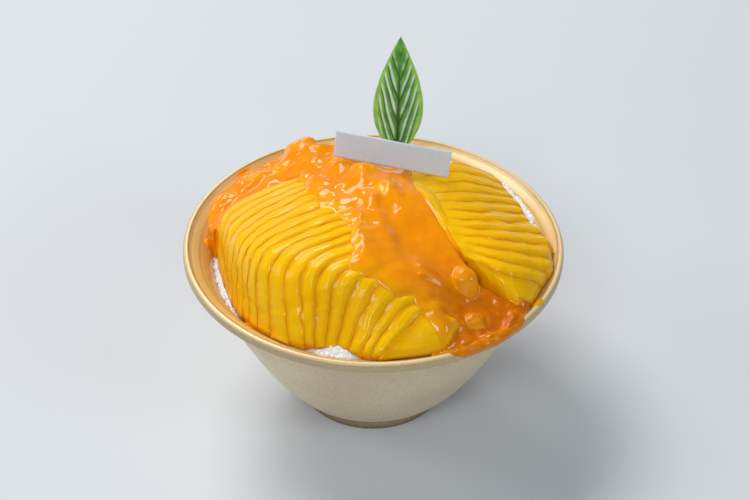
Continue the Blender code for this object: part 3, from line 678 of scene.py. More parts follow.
def make_sauce(height_map, bare_map, material):
    """Sauce: a smooth sheet over the lumps, with the hollows between them filled, fading to nothing at the banks."""
    rows, columns = 460, 170
    plan, along, v = sauce_plan(rows, columns, 0.04)
    v = v * np.ones_like(along)
    x, y = plan[..., 0], plan[..., 1]
    below = read_map(height_map, x, y)
    flat = read_map(blur(fill_hollows(bare_map, 12.5), 4.0), x, y)
    lumpy = read_map(blur(fill_hollows(bare_map, 4.0), 2.4), x, y)
    close = read_map(blur(bare_map, 1.3), x, y)
    thickness = spline(np.linspace(0, 1, len(SAUCE_THICKNESS)), np.array(SAUCE_THICKNESS)[:, None],
                       along[:, 0])[:, :1]
    front = smooth_step((along - 0.78) / 0.12)
    crown = smooth_step((0.66 - along) / 0.15)
    pool = flat + thickness * 0.3 * (1 - v**2) - 0.4
    pool = 0.5 * (pool + lumpy + np.sqrt((pool - lumpy) ** 2 + 4.0))
    pool += SAUCE_POOL[4] * np.exp(-(((x - SAUCE_POOL[0]) / SAUCE_POOL[2]) ** 2)
                                   - ((y - SAUCE_POOL[1]) / SAUCE_POOL[3]) ** 2)
    film = np.maximum(close + 0.4, read_map(blur(height_map, 1.5), x, y) + 1.5)
    film = np.maximum(film, read_map(blur(height_map, 0.7), x, y) + 0.8)
    draped = 0.5 * (pool + film + np.sqrt((pool - film) ** 2 + 1.5))
    clean_bank = smooth_step((along - 0.5) / 0.06) * smooth_step((0.86 - along) / 0.06) * smooth_step(-v * 3)
    edge_shift = (0.09 * waves(plan, 22, 51) + 0.04 * waves(plan, 10, 52)) * (1 - 0.85 * clean_bank)
    inward = 1 - np.abs(v) + edge_shift * np.abs(v)
    inward = np.minimum(inward, np.minimum(along, 1 - along) * 14)
    body = smooth_step(inward / 0.42)
    lifted = smooth_step(inward / (0.14 + 0.24 * smooth_step(v * 3)))
    heap = 0.4 + 0.6 * np.maximum(front, crown)
    lumps = heap * (0.9 * waves(plan, 18, 53) + (0.38 + 0.4 * front) * waves(plan, 9, 54))
    drift = np.stack([along * 30, v * 16], -1)
    streaks = 0.16 * waves(drift, 6, 57) * (1 - 0.6 * front)
    pulp = front * 0.1 * np.maximum(waves(plan, 4.5, 55), 0)
    detail = lumps + streaks + pulp
    for left, right, ahead in SAUCE_FOLDS:
        away = (y - ahead - 0.5 * waves(plan, 14, 59)) / 1.1
        detail += 1.3 * np.exp(-(away**2)) * smooth_step((x - left) / 3) * smooth_step((right - x) / 3)
    for lump_x, lump_y, radius, _ in LUMPS:
        detail *= 1 - 0.9 * np.exp(-((np.hypot(x - lump_x, y - lump_y) / (radius + 1)) ** 4))
    top = close * (1 - lifted) + draped * lifted + body * (0.3 + detail)
    top += 0.3 - 1.2 * (1 - smooth_step(inward / 0.10 + 0.3))
    grid = np.stack([x, y, top], -1)
    low = np.stack([x, y, np.minimum(top - 0.8, close - 2.5)], -1)
    over = np.clip((top - below) / 5, 0, 1)
    deep_end = smooth_step((along - 0.70) / 0.27) * (0.6 + 0.4 * smooth_step((0.9 - v) / 0.8))
    deep_end *= smooth_step(over * 2.5)
    flow = np.stack([along * 150, v * 16], -1)
    sheet_solid("mango_sauce_blanket", grid, low, material, ["mango_sauce"], flow * MM,
                masks={"depth": over, "front": deep_end})


# ---------------------------------------------------------------- card and leaf


def rim_path():
    """Points and outward normals of the bowl's section, up the inside, over the bead and down the band."""
    section = np.concatenate([inside_section()[12:], lip_section()[:-3]])
    section = section[section[:, 1] > 60]
    reach = np.concatenate([[0], np.cumsum(np.hypot(*np.diff(section, axis=0).T))])
    even = np.arange(0, reach[-1], 0.2)
    path = np.stack([np.interp(even, reach, section[:, 0]), np.interp(even, reach, section[:, 1])], 1)
    along = np.gradient(path, axis=0)
    along /= np.hypot(along[:, 0], along[:, 1])[:, None]
    return path, np.stack([-along[:, 1], along[:, 0]], 1)


def make_smear(name, angles, levels, thickness, squareness, seed, material, deep=0.3):
    """Sauce film on the bowl: its edge is a super-ellipse over angle and way along the section, with a wavy outline.

    levels are the heights of both ends of the film: the first on the inside, the second on the band when the film
    goes over the bead (given as a negative height) or on the inside too.
    """
    path, normal = rim_path()
    summit = int(np.argmax(path[:, 1]))
    start = int(np.argmin(np.abs(path[:summit, 1] - levels[0])))
    if levels[1] < 0:
        stop = summit + int(np.argmin(np.abs(path[summit:, 1] + levels[1])))
    else:
        stop = int(np.argmin(np.abs(path[:summit, 1] - levels[1])))
    columns, rows = 60, 120
    place = np.linspace(start, stop, columns)
    picks = np.arange(len(path))
    section = np.stack([np.interp(place, picks, path[:, k]) for k in (0, 1)], 1)
    out = np.stack([np.interp(place, picks, normal[:, k]) for k in (0, 1)], 1)
    angle = np.radians(np.linspace(angles[0], angles[1], rows))[:, None]
    u = np.linspace(-1, 1, rows)[:, None] * np.ones(columns)
    s = np.linspace(-1, 1, columns) * np.ones((rows, 1))
    height = section[:, 1] * np.ones((rows, 1))
    spot = np.stack([section[:, 0] * np.cos(angle), section[:, 0] * np.sin(angle), height], -1)
    ring = (np.abs(u) ** squareness + np.abs(s) ** squareness) ** (1 / squareness)
    inward = 1 - ring * (1 + 0.07 * waves(spot, 12, seed) + 0.03 * waves(spot, 5, seed + 1))
    film = thickness * (smooth_step(inward / 0.45) * (1 + 0.25 * waves(spot, 6, seed + 2)) + 0.12)
    film -= 0.35 * (1 - smooth_step(inward / 0.08))
    away = np.stack([out[:, 0] * np.cos(angle), out[:, 0] * np.sin(angle), out[:, 1] * np.ones((rows, 1))], -1)
    masks = {"depth": np.clip(film / 3, 0, 1), "front": np.full(film.shape, deep)}
    top = spot + away * film[..., None]
    flow = np.stack([angle * RIM_RADIUS * np.ones(columns), s * 5], -1)
    sheet_solid(name, top, spot - away * 0.5, material, uv=flow * MM, masks=masks)


def turn_matrix(axis, angle):
    """Rotation about x, y or z."""
    c, s = math.cos(angle), math.sin(angle)
    grids = {"x": [[1, 0, 0], [0, c, -s], [0, s, c]], "y": [[c, 0, s], [0, 1, 0], [-s, 0, c]],
             "z": [[c, -s, 0], [s, c, 0], [0, 0, 1]]}
    return np.array(grids[axis], float)


def make_card(material):
    """Blank card: a thin plate with rounded edges whose middle bows forward by a quarter of a millimetre."""
    width, depth, height = (length / 2 for length in CARD_SIZE)
    columns, rows = 60, 20
    x = np.linspace(-width, width, columns) * np.ones((rows, 1))
    z = np.linspace(-height, height, rows)[:, None] * np.ones(columns)
    bow = -0.25 * (1 - (x / width) ** 2)
    edge = np.minimum(width - np.abs(x), height - np.abs(z))
    thick = depth * np.sqrt(np.clip(edge / 0.25 + 0.15, 0, 1))
    place = turn_matrix("z", CARD_TURN) @ turn_matrix("y", CARD_DROP) @ turn_matrix("x", CARD_LEAN)
    front = np.stack([x, bow - thick, z], -1) @ place.T + CARD_CENTRE
    back = np.stack([x, bow + thick, z], -1) @ place.T + CARD_CENTRE
    flow = np.stack([x, z], -1) * MM
    sheet_solid("blank_card_paper", front, back, material, ["blank_card"], flow)


def make_leaf(material):
    """Leaf: half width 0.8 + 11.2 sin(pi b^0.68)^0.92, folded along the rib, side veins sunk along steep curves."""
    rows, columns = 240, 101
    u = np.linspace(0, 1, rows)[:, None] * np.ones(columns)
    v = np.linspace(-1, 1, columns) * np.ones((rows, 1))
    blade = np.clip((u - LEAF_STALK) / (1 - LEAF_STALK), 0, 1)
    swell = np.maximum(np.sin(np.pi * blade**0.68), 0) ** 0.92
    half = LEAF_STALK_HALF_WIDTH * (1 - 0.7 * blade) + (LEAF_HALF_WIDTH - LEAF_STALK_HALF_WIDTH) * swell
    x = half * v
    fold = LEAF_FOLD * half * np.abs(v) ** 1.3
    z = LEAF_LENGTH * u
    reach = np.abs(x)
    wander = 2.0 * (x > 0) + 0.9 * waves(np.stack([x, z], -1), 18, 92)
    turn = (z - 2.3 * reach - 0.12 * reach**2 + wander) / 11.5
    furrow = np.abs(np.sin(np.pi * turn)) ** 0.8
    bank = 0.5 + 0.5 * np.cos(2 * np.pi * (turn - 0.27))
    spread = smooth_step(swell * 2) * smooth_step((1 - np.abs(v)) * 4) * smooth_step(reach / 0.9 - 0.4)
    crimp = 0.35 * np.sin(2 * np.pi * z / 15 + 1.0) * v**2 * smooth_step(swell * 2)
    y = fold + LEAF_BEND * u * u + z * math.tan(LEAF_LEAN) - 0.45 * furrow * spread + crimp
    y += 0.5 * np.exp(-((x / 0.7) ** 2)) * smooth_step(swell * 2) * (1 - blade)
    front = np.stack([LEAF_BASE[0] + x + LEAF_SWAY * u, LEAF_BASE[1] + y, LEAF_BASE[2] + z], -1)
    rib = 0.45 * np.exp(-((x / 0.55) ** 2)) * (1 - 0.6 * blade)
    stalk = 0.5 * smooth_step((LEAF_STALK * 1.3 - u) * 20)
    thin = LEAF_THICKNESS * (0.35 + 0.65 * smooth_step((1 - np.abs(v)) * 6)) + rib + stalk
    back = front + np.stack([0 * x, thin * 0.8, 0 * x], -1)
    flow = np.stack([x, z], -1) * MM
    rib_line = np.exp(-((x / (0.75 * (1.15 - blade))) ** 2)) * smooth_step((0.85 - blade) * 4)
    fade = smooth_step(swell * 2.5) * smooth_step((1 - np.abs(v)) * 3.5)
    # Painted shade along the sunk furrows, with finer dark vein lines, and pale stripes beside them that are partly the
    # leaf's own variegation and partly painted highlight.
    fine = smooth_step(0.5 + np.cos(2 * np.pi * (turn * 4 + 0.2))) * fade
    vein_and_furrow_shade = np.maximum(1 - furrow, 0.5 * fine) * fade
    pale_stripe_and_highlight = bank**1.1 * fade * smooth_step(reach / 2)
    masks = {"vein_and_furrow_shade": vein_and_furrow_shade, "pale_stripe_and_highlight": pale_stripe_and_highlight, "rib": rib_line,
             "rim": smooth_step((np.abs(v) - 0.93) * 14), "margin": smooth_step((np.abs(v) - 0.45) * 2)}
    sheet_solid("leaf_blade", front, back, material, ["leaf"], flow, masks)


# ---------------------------------------------------------------- materials


def add_node(tree, kind, links=None, **settings):
    """Node with its settings, its sockets linked or set."""
    made = tree.nodes.new(kind)
    for key, value in settings.items():
        setattr(made, key, value)
    for key, value in (links or {}).items():
        if isinstance(value, bpy.types.NodeSocket):
            tree.links.new(value, made.inputs[key])
        else:
            made.inputs[key].default_value = value
    return made


def colour_mix(tree, share, low, high):
    """Mix of two colours by a share; each may be a socket or linear RGB."""
    mix = add_node(tree, "ShaderNodeMix", data_type="RGBA")
    for socket, value in ((mix.inputs[0], share), (mix.inputs[6], low), (mix.inputs[7], high)):
        if isinstance(value, bpy.types.NodeSocket):
            tree.links.new(value, socket)
        elif isinstance(value, tuple):
            socket.default_value = (*value, 1)
        else:
            socket.default_value = value
    return mix.outputs[2]


def new_group(name, inputs, outputs):
    """Node group with named sockets."""
    group = bpy.data.node_groups.new(name, "ShaderNodeTree")
    for label, kind, value in inputs:
        socket = group.interface.new_socket(label, in_out="INPUT", socket_type=kind)
        if value is not None:
            socket.default_value = value
    for label, kind in outputs:
        group.interface.new_socket(label, in_out="OUTPUT", socket_type=kind)
    return group, group.nodes.new("NodeGroupInput"), group.nodes.new("NodeGroupOutput")


def mottle_group():
    """Soft patches: noise at a scale, spread between two limits to a mask."""
    group, into, out = new_group("soft_mottle", (
        ("Position", "NodeSocketVector", None), ("Scale", "NodeSocketFloat", 100.0),
        ("Low", "NodeSocketFloat", 0.35), ("High", "NodeSocketFloat", 0.65)), (("Mask", "NodeSocketFloat"),))
    noise = add_node(group, "ShaderNodeTexNoise", {"Vector": into.outputs["Position"], "Scale": into.outputs["Scale"],
                                                   "Detail": 3.0, "Roughness": 0.55})
    spread = add_node(group, "ShaderNodeMapRange", {"Value": noise.outputs["Fac"], "From Min": into.outputs["Low"],
                                                    "From Max": into.outputs["High"]}, interpolation_type="SMOOTHSTEP")
    group.links.new(spread.outputs["Result"], out.inputs["Mask"])
    return group


def relief_group():
    """Fine relief: two scales of noise added up and turned into a bumped normal."""
    group, into, out = new_group("fine_relief", (
        ("Position", "NodeSocketVector", None), ("Scale", "NodeSocketFloat", 300.0),
        ("Fine Share", "NodeSocketFloat", 0.3), ("Strength", "NodeSocketFloat", 0.3),
        ("Distance", "NodeSocketFloat", 0.0005)), (("Height", "NodeSocketFloat"), ("Normal", "NodeSocketVector")))
    coarse = add_node(group, "ShaderNodeTexNoise", {"Vector": into.outputs["Position"],
                                                    "Scale": into.outputs["Scale"], "Detail": 2.0})
    finer = add_node(group, "ShaderNodeMath", {0: into.outputs["Scale"], 1: 3.7}, operation="MULTIPLY")
    fine = add_node(group, "ShaderNodeTexNoise", {"Vector": into.outputs["Position"], "Scale": finer.outputs[0],
                                                  "Detail": 2.0})
    part = add_node(group, "ShaderNodeMath", {0: fine.outputs["Fac"], 1: into.outputs["Fine Share"]},
                    operation="MULTIPLY")
    total = add_node(group, "ShaderNodeMath", {0: coarse.outputs["Fac"], 1: part.outputs[0]}, operation="ADD")
    bump = add_node(group, "ShaderNodeBump", {"Height": total.outputs[0], "Strength": into.outputs["Strength"],
                                              "Distance": into.outputs["Distance"]})
    group.links.new(total.outputs[0], out.inputs["Height"])
    group.links.new(bump.outputs["Normal"], out.inputs["Normal"])
    return group


MOTTLE = mottle_group()
RELIEF = relief_group()


def use_group(tree, group, links):
    """The node group placed in a material with its own values."""
    placed = tree.nodes.new("ShaderNodeGroup")
    placed.node_tree = group
    for key, value in links.items():
        if isinstance(value, bpy.types.NodeSocket):
            tree.links.new(value, placed.inputs[key])
        else:
            placed.inputs[key].default_value = value
    return placed


def start_material(name, **settings):
    """Material, its tree, its shader and its object position."""
    material = bpy.data.materials.new(name)
    material.use_nodes = True
    tree = material.node_tree
    shader = tree.nodes["Principled BSDF"]
    for key, value in settings.items():
        shader.inputs[key.replace("_", " ")].default_value = value
    place = add_node(tree, "ShaderNodeTexCoord").outputs["Object"]
    return material, tree, shader, place


def mask_of(tree, name):
    """A mask that the piece carries."""
    return add_node(tree, "ShaderNodeAttribute", attribute_name=name).outputs["Fac"]


def stoneware_material():
    """Beige satin glaze outside with fine dark and pale specks, a warmer and glossier glaze inside whose orange is
    partly painted bounce light from the mango, painted shade on the foot, the band and in lines on the rim, and painted
    highlights on the bead.
    """
    material, tree, shader, place = start_material("speckled_stoneware", Specular_IOR_Level=0.5)
    inside = mask_of(tree, "inside")
    cloud = use_group(tree, MOTTLE, {"Position": place, "Scale": 35.0, "Low": 0.3, "High": 0.7}).outputs["Mask"]
    outer = colour_mix(tree, cloud, (0.67, 0.53, 0.345), (0.75, 0.61, 0.40))
    # Inside glaze: warmer than the outside, with part of its orange being painted bounce light from the mango.
    inner = colour_mix(tree, cloud, (0.71, 0.44, 0.13), (0.78, 0.52, 0.18))
    glaze = colour_mix(tree, inside, outer, inner)
    # Painted shade on the foot, darkest at the bottom as a painted contact shadow.
    glaze = colour_mix(tree, mask_of(tree, "foot"), glaze, (0.16, 0.10, 0.03))
    # Painted shade on the outer band under the bead.
    glaze = colour_mix(tree, mask_of(tree, "band"), glaze, (0.50, 0.37, 0.20))
    # Painted highlights on the bead.
    glaze = colour_mix(tree, mask_of(tree, "bead"), glaze, (0.90, 0.70, 0.38))
    # Painted shade lines on the bead's inner shoulder and low on the inner flare.
    painted_shade_line_part = add_node(tree, "ShaderNodeMath", {0: mask_of(tree, "groove"), 1: 0.75},
                           operation="MULTIPLY").outputs[0]
    glaze = colour_mix(tree, painted_shade_line_part, glaze, (0.26, 0.15, 0.045))
    dark = use_group(tree, MOTTLE, {"Position": place, "Scale": 1000.0, "Low": 0.56, "High": 0.66}).outputs["Mask"]
    pale = use_group(tree, MOTTLE, {"Position": place, "Scale": 620.0, "Low": 0.58, "High": 0.70}).outputs["Mask"]
    speckled = add_node(tree, "ShaderNodeMapRange", {"Value": inside, "To Min": 0.38, "To Max": 0.1}).outputs["Result"]
    dark_share = add_node(tree, "ShaderNodeMath", {0: dark, 1: speckled}, operation="MULTIPLY").outputs[0]
    pale_share = add_node(tree, "ShaderNodeMath", {0: pale, 1: 0.2}, operation="MULTIPLY").outputs[0]
    specked = colour_mix(tree, dark_share, glaze, (0.24, 0.16, 0.09))
    specked = colour_mix(tree, pale_share, specked, (0.80, 0.72, 0.58))
    gloss = add_node(tree, "ShaderNodeMapRange", {"Value": inside, "To Min": 0.46, "To Max": 0.26})
    relief = use_group(tree, RELIEF, {"Position": place, "Scale": 900.0, "Fine Share": 0.2, "Strength": 0.12,
                                      "Distance": 0.0004})
    tree.links.new(specked, shader.inputs["Base Color"])
    tree.links.new(gloss.outputs["Result"], shader.inputs["Roughness"])
    tree.links.new(relief.outputs["Normal"], shader.inputs["Normal"])
    return material


def ice_material(name, grain):
    """Wet white ice with crystal relief and faint grey patches, and a faint white glow that brightens it as painted
    light.
    """
    # Emission_Strength makes the ice glow faintly white: painted light that brightens it.
    material, tree, shader, place = start_material(name, Roughness=0.4, Subsurface_Weight=0.5, Subsurface_Scale=0.004,
                                                   IOR=1.31, Emission_Strength=0.07)
    shader.inputs["Subsurface Radius"].default_value = (0.9, 1.0, 1.1)
    wet = use_group(tree, MOTTLE, {"Position": place, "Scale": 260.0, "Low": 0.35, "High": 0.7}).outputs["Mask"]
    tree.links.new(colour_mix(tree, wet, (0.97, 0.97, 0.98), (0.92, 0.94, 0.95)), shader.inputs["Base Color"])
    relief = use_group(tree, RELIEF, {"Position": place, "Scale": grain, "Fine Share": 0.6, "Strength": 0.25,
                                      "Distance": 0.0005})
    tree.links.new(relief.outputs["Normal"], shader.inputs["Normal"])
    return material


def mango_material(name, golden, deep, shade, gloss=0.14):
    """Moist mango flesh: golden on the rounded tops, with painted shade in a deeper orange on the step faces and along
    the low edges between slices, and fibres along each slice.
    """
    material, tree, shader, place = start_material(name, Roughness=0.3, Subsurface_Weight=0.2, Subsurface_Scale=0.003,
                                                   Specular_IOR_Level=0.08, Coat_Weight=0.16, Coat_Roughness=0.04)
    shader.inputs["Subsurface Radius"].default_value = (1.0, 0.5, 0.05)
    flow = add_node(tree, "ShaderNodeUVMap", uv_map="flow").outputs["UV"]
    stretch = add_node(tree, "ShaderNodeMapping", {"Vector": flow, "Scale": (0.1, 1.0, 1.0)}).outputs["Vector"]
    fibre = use_group(tree, MOTTLE, {"Position": stretch, "Scale": 800.0, "Low": 0.3, "High": 0.72}).outputs["Mask"]
    cloud = use_group(tree, MOTTLE, {"Position": place, "Scale": 40.0, "Low": 0.3, "High": 0.7}).outputs["Mask"]
    tone = add_node(tree, "ShaderNodeMath", {0: fibre, 1: 0.25}, operation="MULTIPLY").outputs[0]
    flesh = colour_mix(tree, tone, golden, deep)
    part = add_node(tree, "ShaderNodeMath", {0: cloud, 1: 0.4}, operation="MULTIPLY").outputs[0]
    flesh = colour_mix(tree, part, flesh, deep)
    # Painted shade: the hollow mask mixes the low near edge and near side wall of each slice towards the shade colour.
    hollow = add_node(tree, "ShaderNodeMath", {0: mask_of(tree, "hollow"), 1: 0.6}, operation="MULTIPLY").outputs[0]
    flesh = colour_mix(tree, hollow, flesh, shade)
    # Painted shade: the cut mask mixes each slice's step face towards the shade colour; cubes and lumps carry an even
    # share of it.
    cut = add_node(tree, "ShaderNodeMath", {0: mask_of(tree, "cut"), 1: 0.4}, operation="MULTIPLY").outputs[0]
    tree.links.new(colour_mix(tree, cut, flesh, shade), shader.inputs["Base Color"])
    rough = add_node(tree, "ShaderNodeMapRange", {"Value": cloud, "To Min": gloss, "To Max": 2 * gloss})
    tree.links.new(rough.outputs["Result"], shader.inputs["Roughness"])
    relief = use_group(tree, RELIEF, {"Position": stretch, "Scale": 500.0, "Fine Share": 0.3, "Strength": 0.1,
                                      "Distance": 0.0006})
    tree.links.new(relief.outputs["Normal"], shader.inputs["Normal"])
    return material


def sauce_material():
    """Smooth mango sauce: golden where thin, orange where thick and a deep red orange at its front end."""
    material, tree, shader, place = start_material("mango_sauce_gloss", Roughness=0.06, Subsurface_Weight=0.1,
                                                   Subsurface_Scale=0.003, Coat_Weight=0.11, Coat_Roughness=0.03,
                                                   Specular_IOR_Level=0.22)
    shader.inputs["Subsurface Radius"].default_value = (1.0, 0.35, 0.03)
    flow = add_node(tree, "ShaderNodeUVMap", uv_map="flow").outputs["UV"]
    stretch = add_node(tree, "ShaderNodeMapping", {"Vector": flow, "Scale": (0.35, 1.0, 1.0)}).outputs["Vector"]
    band = use_group(tree, MOTTLE, {"Position": stretch, "Scale": 160.0, "Low": 0.35, "High": 0.65}).outputs["Mask"]
    cloud = use_group(tree, MOTTLE, {"Position": place, "Scale": 60.0, "Low": 0.32, "High": 0.68}).outputs["Mask"]
    pulp = use_group(tree, MOTTLE, {"Position": place, "Scale": 300.0, "Low": 0.5, "High": 0.72}).outputs["Mask"]
    deep = add_node(tree, "ShaderNodeMapRange", {"Value": mask_of(tree, "depth"), "From Min": 0.2, "From Max": 0.7},
                    interpolation_type="SMOOTHSTEP").outputs["Result"]
    body = colour_mix(tree, deep, (0.96, 0.42, 0.001), (0.93, 0.30, 0.0005))
    cloud_part = add_node(tree, "ShaderNodeMath", {0: cloud, 1: 0.35}, operation="MULTIPLY").outputs[0]
    body = colour_mix(tree, cloud_part, body, (0.92, 0.26, 0.0005))
    band_part = add_node(tree, "ShaderNodeMath", {0: band, 1: 0.3}, operation="MULTIPLY").outputs[0]
    body = colour_mix(tree, band_part, body, (0.86, 0.21, 0.0005))
    front_part = add_node(tree, "ShaderNodeMath", {0: mask_of(tree, "front"), 1: 0.85}, operation="MULTIPLY").outputs[0]
    body = colour_mix(tree, front_part, body, (0.56, 0.105, 0.0005))
    pulp_part = add_node(tree, "ShaderNodeMath", {0: pulp, 1: 0.45}, operation="MULTIPLY").outputs[0]
    tree.links.new(colour_mix(tree, pulp_part, body, (0.95, 0.36, 0.001)), shader.inputs["Base Color"])
    relief = use_group(tree, RELIEF, {"Position": place, "Scale": 110.0, "Fine Share": 0.05, "Strength": 0.03,
                                      "Distance": 0.0015})
    tree.links.new(relief.outputs["Normal"], shader.inputs["Normal"])
    return material


def card_material():
    """Bare silver-blue card with a faint fibre."""
    material, tree, shader, place = start_material("bare_card", Roughness=0.5)
    cloud = use_group(tree, MOTTLE, {"Position": place, "Scale": 500.0, "Low": 0.3, "High": 0.7}).outputs["Mask"]
    tree.links.new(colour_mix(tree, cloud, (0.64, 0.73, 0.82), (0.68, 0.77, 0.86)), shader.inputs["Base Color"])
    relief = use_group(tree, RELIEF, {"Position": place, "Scale": 2500.0, "Fine Share": 0.5, "Strength": 0.15,
                                      "Distance": 0.0002})
    tree.links.new(relief.outputs["Normal"], shader.inputs["Normal"])
    return material


def leaf_material():
    """Glossy leaf: yellow-green towards its edges, painted shade in the furrows beside pale stripes that are partly
    variegation and partly painted highlight, a dark rib, a pale rim.
    """
    material, tree, shader, place = start_material("glossy_leaf", Roughness=0.32, Coat_Weight=0.25, Coat_Roughness=0.1,
                                                   Subsurface_Weight=0.1, Subsurface_Scale=0.001)
    vein_and_furrow_shade, pale_stripe_and_highlight, rib, rim, margin = (mask_of(tree, name) for name in ("vein_and_furrow_shade", "pale_stripe_and_highlight", "rib", "rim", "margin"))
    cloud = use_group(tree, MOTTLE, {"Position": place, "Scale": 200.0, "Low": 0.3, "High": 0.7}).outputs["Mask"]
    middle = colour_mix(tree, cloud, (0.07, 0.28, 0.02), (0.15, 0.46, 0.03))
    outer = colour_mix(tree, cloud, (0.22, 0.55, 0.03), (0.36, 0.68, 0.06))
    green = colour_mix(tree, margin, middle, outer)
    # Pale stripes: partly the leaf's own variegation and partly painted highlight on the quilts.
    patch = use_group(tree, MOTTLE, {"Position": place, "Scale": 110.0, "Low": 0.1, "High": 0.55}).outputs["Mask"]
    seen = add_node(tree, "ShaderNodeMath", {0: pale_stripe_and_highlight, 1: patch}, operation="MULTIPLY").outputs[0]
    pale = add_node(tree, "ShaderNodeMapRange", {"Value": seen, "From Min": 0.2, "From Max": 1.0, "To Max": 1.0},
                    interpolation_type="SMOOTHSTEP").outputs["Result"]
    green = colour_mix(tree, pale, green, (0.66, 0.88, 0.72))
    # Painted shade in the furrows, with finer dark vein lines.
    dark = add_node(tree, "ShaderNodeMapRange", {"Value": vein_and_furrow_shade, "From Min": 0.35, "From Max": 0.9, "To Max": 0.85},
                    interpolation_type="SMOOTHSTEP").outputs["Result"]
    green = colour_mix(tree, dark, green, (0.012, 0.07, 0.008))
    green = colour_mix(tree, rib, green, (0.015, 0.07, 0.008))
    tree.links.new(colour_mix(tree, rim, green, (0.42, 0.62, 0.30)), shader.inputs["Base Color"])
    relief = use_group(tree, RELIEF, {"Position": place, "Scale": 900.0, "Fine Share": 0.3, "Strength": 0.15,
                                      "Distance": 0.0003})
    tree.links.new(relief.outputs["Normal"], shader.inputs["Normal"])
    return material


def floor_material():
    """Plain pale floor with barely visible clouds."""
    material, tree, shader, place = start_material("pale_floor", Roughness=0.75)
    cloud = use_group(tree, MOTTLE, {"Position": place, "Scale": 3.0, "Low": 0.2, "High": 0.8}).outputs["Mask"]
    tree.links.new(colour_mix(tree, cloud, (0.625, 0.645, 0.67), (0.645, 0.665, 0.69)), shader.inputs["Base Color"])
    return material


# ---------------------------------------------------------------- studio


def add_light(name, place, target, size, power, colour):
    """Square soft light that faces its target."""
    lamp = bpy.data.lights.new(name, "AREA")
    lamp.shape = "RECTANGLE"
    lamp.size, lamp.size_y = size
    lamp.energy = power
    lamp.color = colour
    holder = bpy.data.objects.new(name, lamp)
    bpy.context.scene.collection.objects.link(holder)
    away = np.array(place) - np.array(target)
    flat = math.hypot(away[0], away[1])
    holder.location = place
    holder.rotation_euler = (math.atan2(flat, away[2]), 0, math.atan2(away[0], -away[1]))
    return holder


def add_camera():
    """Camera 37.7 degrees above the table, straight in front, with a long lens and a slight roll."""
    elevation, roll = math.radians(37.7), math.radians(0.70)
    aim = np.array([0.0008, -0.00267, 0.08504])
    distance = 0.986
    forward = np.array([0, math.cos(elevation), -math.sin(elevation)])
    data = bpy.data.cameras.new("studio_camera")
    data.lens = 100
    data.sensor_width = 36
    data.clip_end = 20
    camera = bpy.data.objects.new("studio_camera", data)
    bpy.context.scene.collection.objects.link(camera)
    camera.location = aim - distance * forward
    tilt = turn_matrix("x", math.pi / 2 - elevation) @ turn_matrix("z", roll)
    camera.rotation_euler = Matrix(tilt.tolist()).to_euler()
    bpy.context.scene.camera = camera


def make_floor(material):
    """Large flat floor just below the foot."""
    half = 4000.0
    line = np.linspace(-half, half, 5)
    x, y = np.meshgrid(line, line, indexing="ij")
    grid = np.stack([x, y, 0 * x - 0.05], -1)
    mesh = bpy.data.meshes.new("floor")
    mesh.from_pydata((grid.reshape(-1, 3) * MM).tolist(), [], grid_faces(5, 5).tolist())
    mesh.materials.append(material)
    floor = bpy.data.objects.new("floor", mesh)
    bpy.context.scene.collection.objects.link(floor)


def light_studio():
    """Soft key from the back left, weaker lights from the left, the front left and the right, and a dim world."""
    world = bpy.data.worlds.new("studio")
    world.use_nodes = True
    world.node_tree.nodes["Background"].inputs["Color"].default_value = (0.80, 0.91, 1.0, 1)
    world.node_tree.nodes["Background"].inputs["Strength"].default_value = 0.18
    bpy.context.scene.world = world
    add_light("key_light", (-1.00, 1.10, 2.30), (0, 0, 0.08), (1.4, 1.3), 51.5, (1.0, 0.98, 0.96))
    add_light("side_light", (-2.2, 0.2, 1.2), (0, 0, 0.06), (1.0, 0.7), 9.0, (0.97, 0.98, 1.0))
    add_light("fill_light", (-0.6, -2.1, 2.0), (0, 0, 0.06), (1.0, 0.8), 26.0, (0.90, 0.955, 1.0))
    add_light("back_light", (-0.5, 2.3, 1.7), (0, 0, 0.08), (0.7, 0.5), 9.0, (1.0, 0.98, 0.97))
    add_light("right_light", (2.0, -1.3, 1.5), (0, 0, 0.06), (0.9, 0.7), 15.0, (0.84, 0.93, 1.0))


# ---------------------------------------------------------------- making it all

add_camera()
light_studio()
make_floor(floor_material())

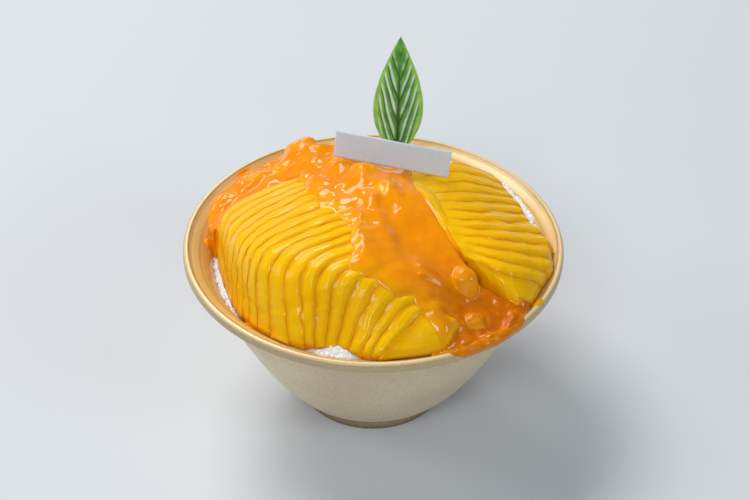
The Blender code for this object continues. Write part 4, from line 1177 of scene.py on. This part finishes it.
stoneware = stoneware_material()
left_mango = mango_material("mango_golden", (0.97, 0.53, 0.001), (0.96, 0.44, 0.001), (0.90, 0.27, 0.001))
right_mango = mango_material("mango_deeper", (0.96, 0.52, 0.001), (0.95, 0.46, 0.001), (0.90, 0.30, 0.001))

heights = new_map()
map_x, map_y = map_places()
heights = np.where(np.hypot(map_x, map_y) < RIM_RADIUS, food_floor(map_x, map_y) - 0.5, 80.0)

make_bowl(stoneware)
make_ice(ice_material("shaved_ice_wet", 420.0))
make_fan("left_slice", (LEFT_FOOT, LEFT_SHOULDER, LEFT_CROWN, LEFT_HEEL), LEFT_KNOTS, LEFT_CUTS, LEFT_RELIEF,
         300, left_mango, heights, rounded=(True, True), ridged=0.0, trims=(0.03, 0.0))
make_fan("right_slice", (RIGHT_INNER, RIGHT_CREST, RIGHT_OUTER), RIGHT_KNOTS, RIGHT_CUTS, RIGHT_RELIEF,
         340, right_mango, heights, rounded=(False, True), ridged=0.03, trims=(0.0, 0.05))
make_cheek(right_mango, heights)
make_cubes(right_mango, heights)
bare_heights = heights.copy()
make_lumps(mango_material("mango_coated", (0.95, 0.38, 0.001), (0.92, 0.29, 0.001), (0.88, 0.26, 0.001), 0.07), heights)
make_ice_grains(heights, ice_material("shaved_ice_crystal", 900.0))
sauce = sauce_material()
make_sauce(heights, bare_heights, sauce)
make_smear("mango_sauce_overflow", (-69, -37), (80.5, -84.3), 1.0, 3.0, 95, sauce, deep=0.75)
make_smear("mango_sauce_drip", (162, 174), (72.0, 83.5), 0.6, 2.0, 96, sauce, deep=0.0)
make_smear("mango_sauce_spot", (221.5, 229), (76.5, 83.0), 1.3, 2.0, 100, sauce, deep=0.9)
make_smear("mango_sauce_small_drip", (174, 178.5), (79.0, 83.5), 0.8, 2.0, 97, sauce, deep=0.0)
make_smear("mango_sauce_rim_smear_1", (-33, -28), (86.0, -87.6), 0.35, 2.0, 98, sauce, deep=0.0)
make_smear("mango_sauce_rim_smear_2", (136, 142), (85.5, 88.2), 0.35, 2.0, 99, sauce, deep=0.0)
make_card(card_material())
make_leaf(leaf_material())

bpy.context.scene.view_settings.view_transform = "Standard"
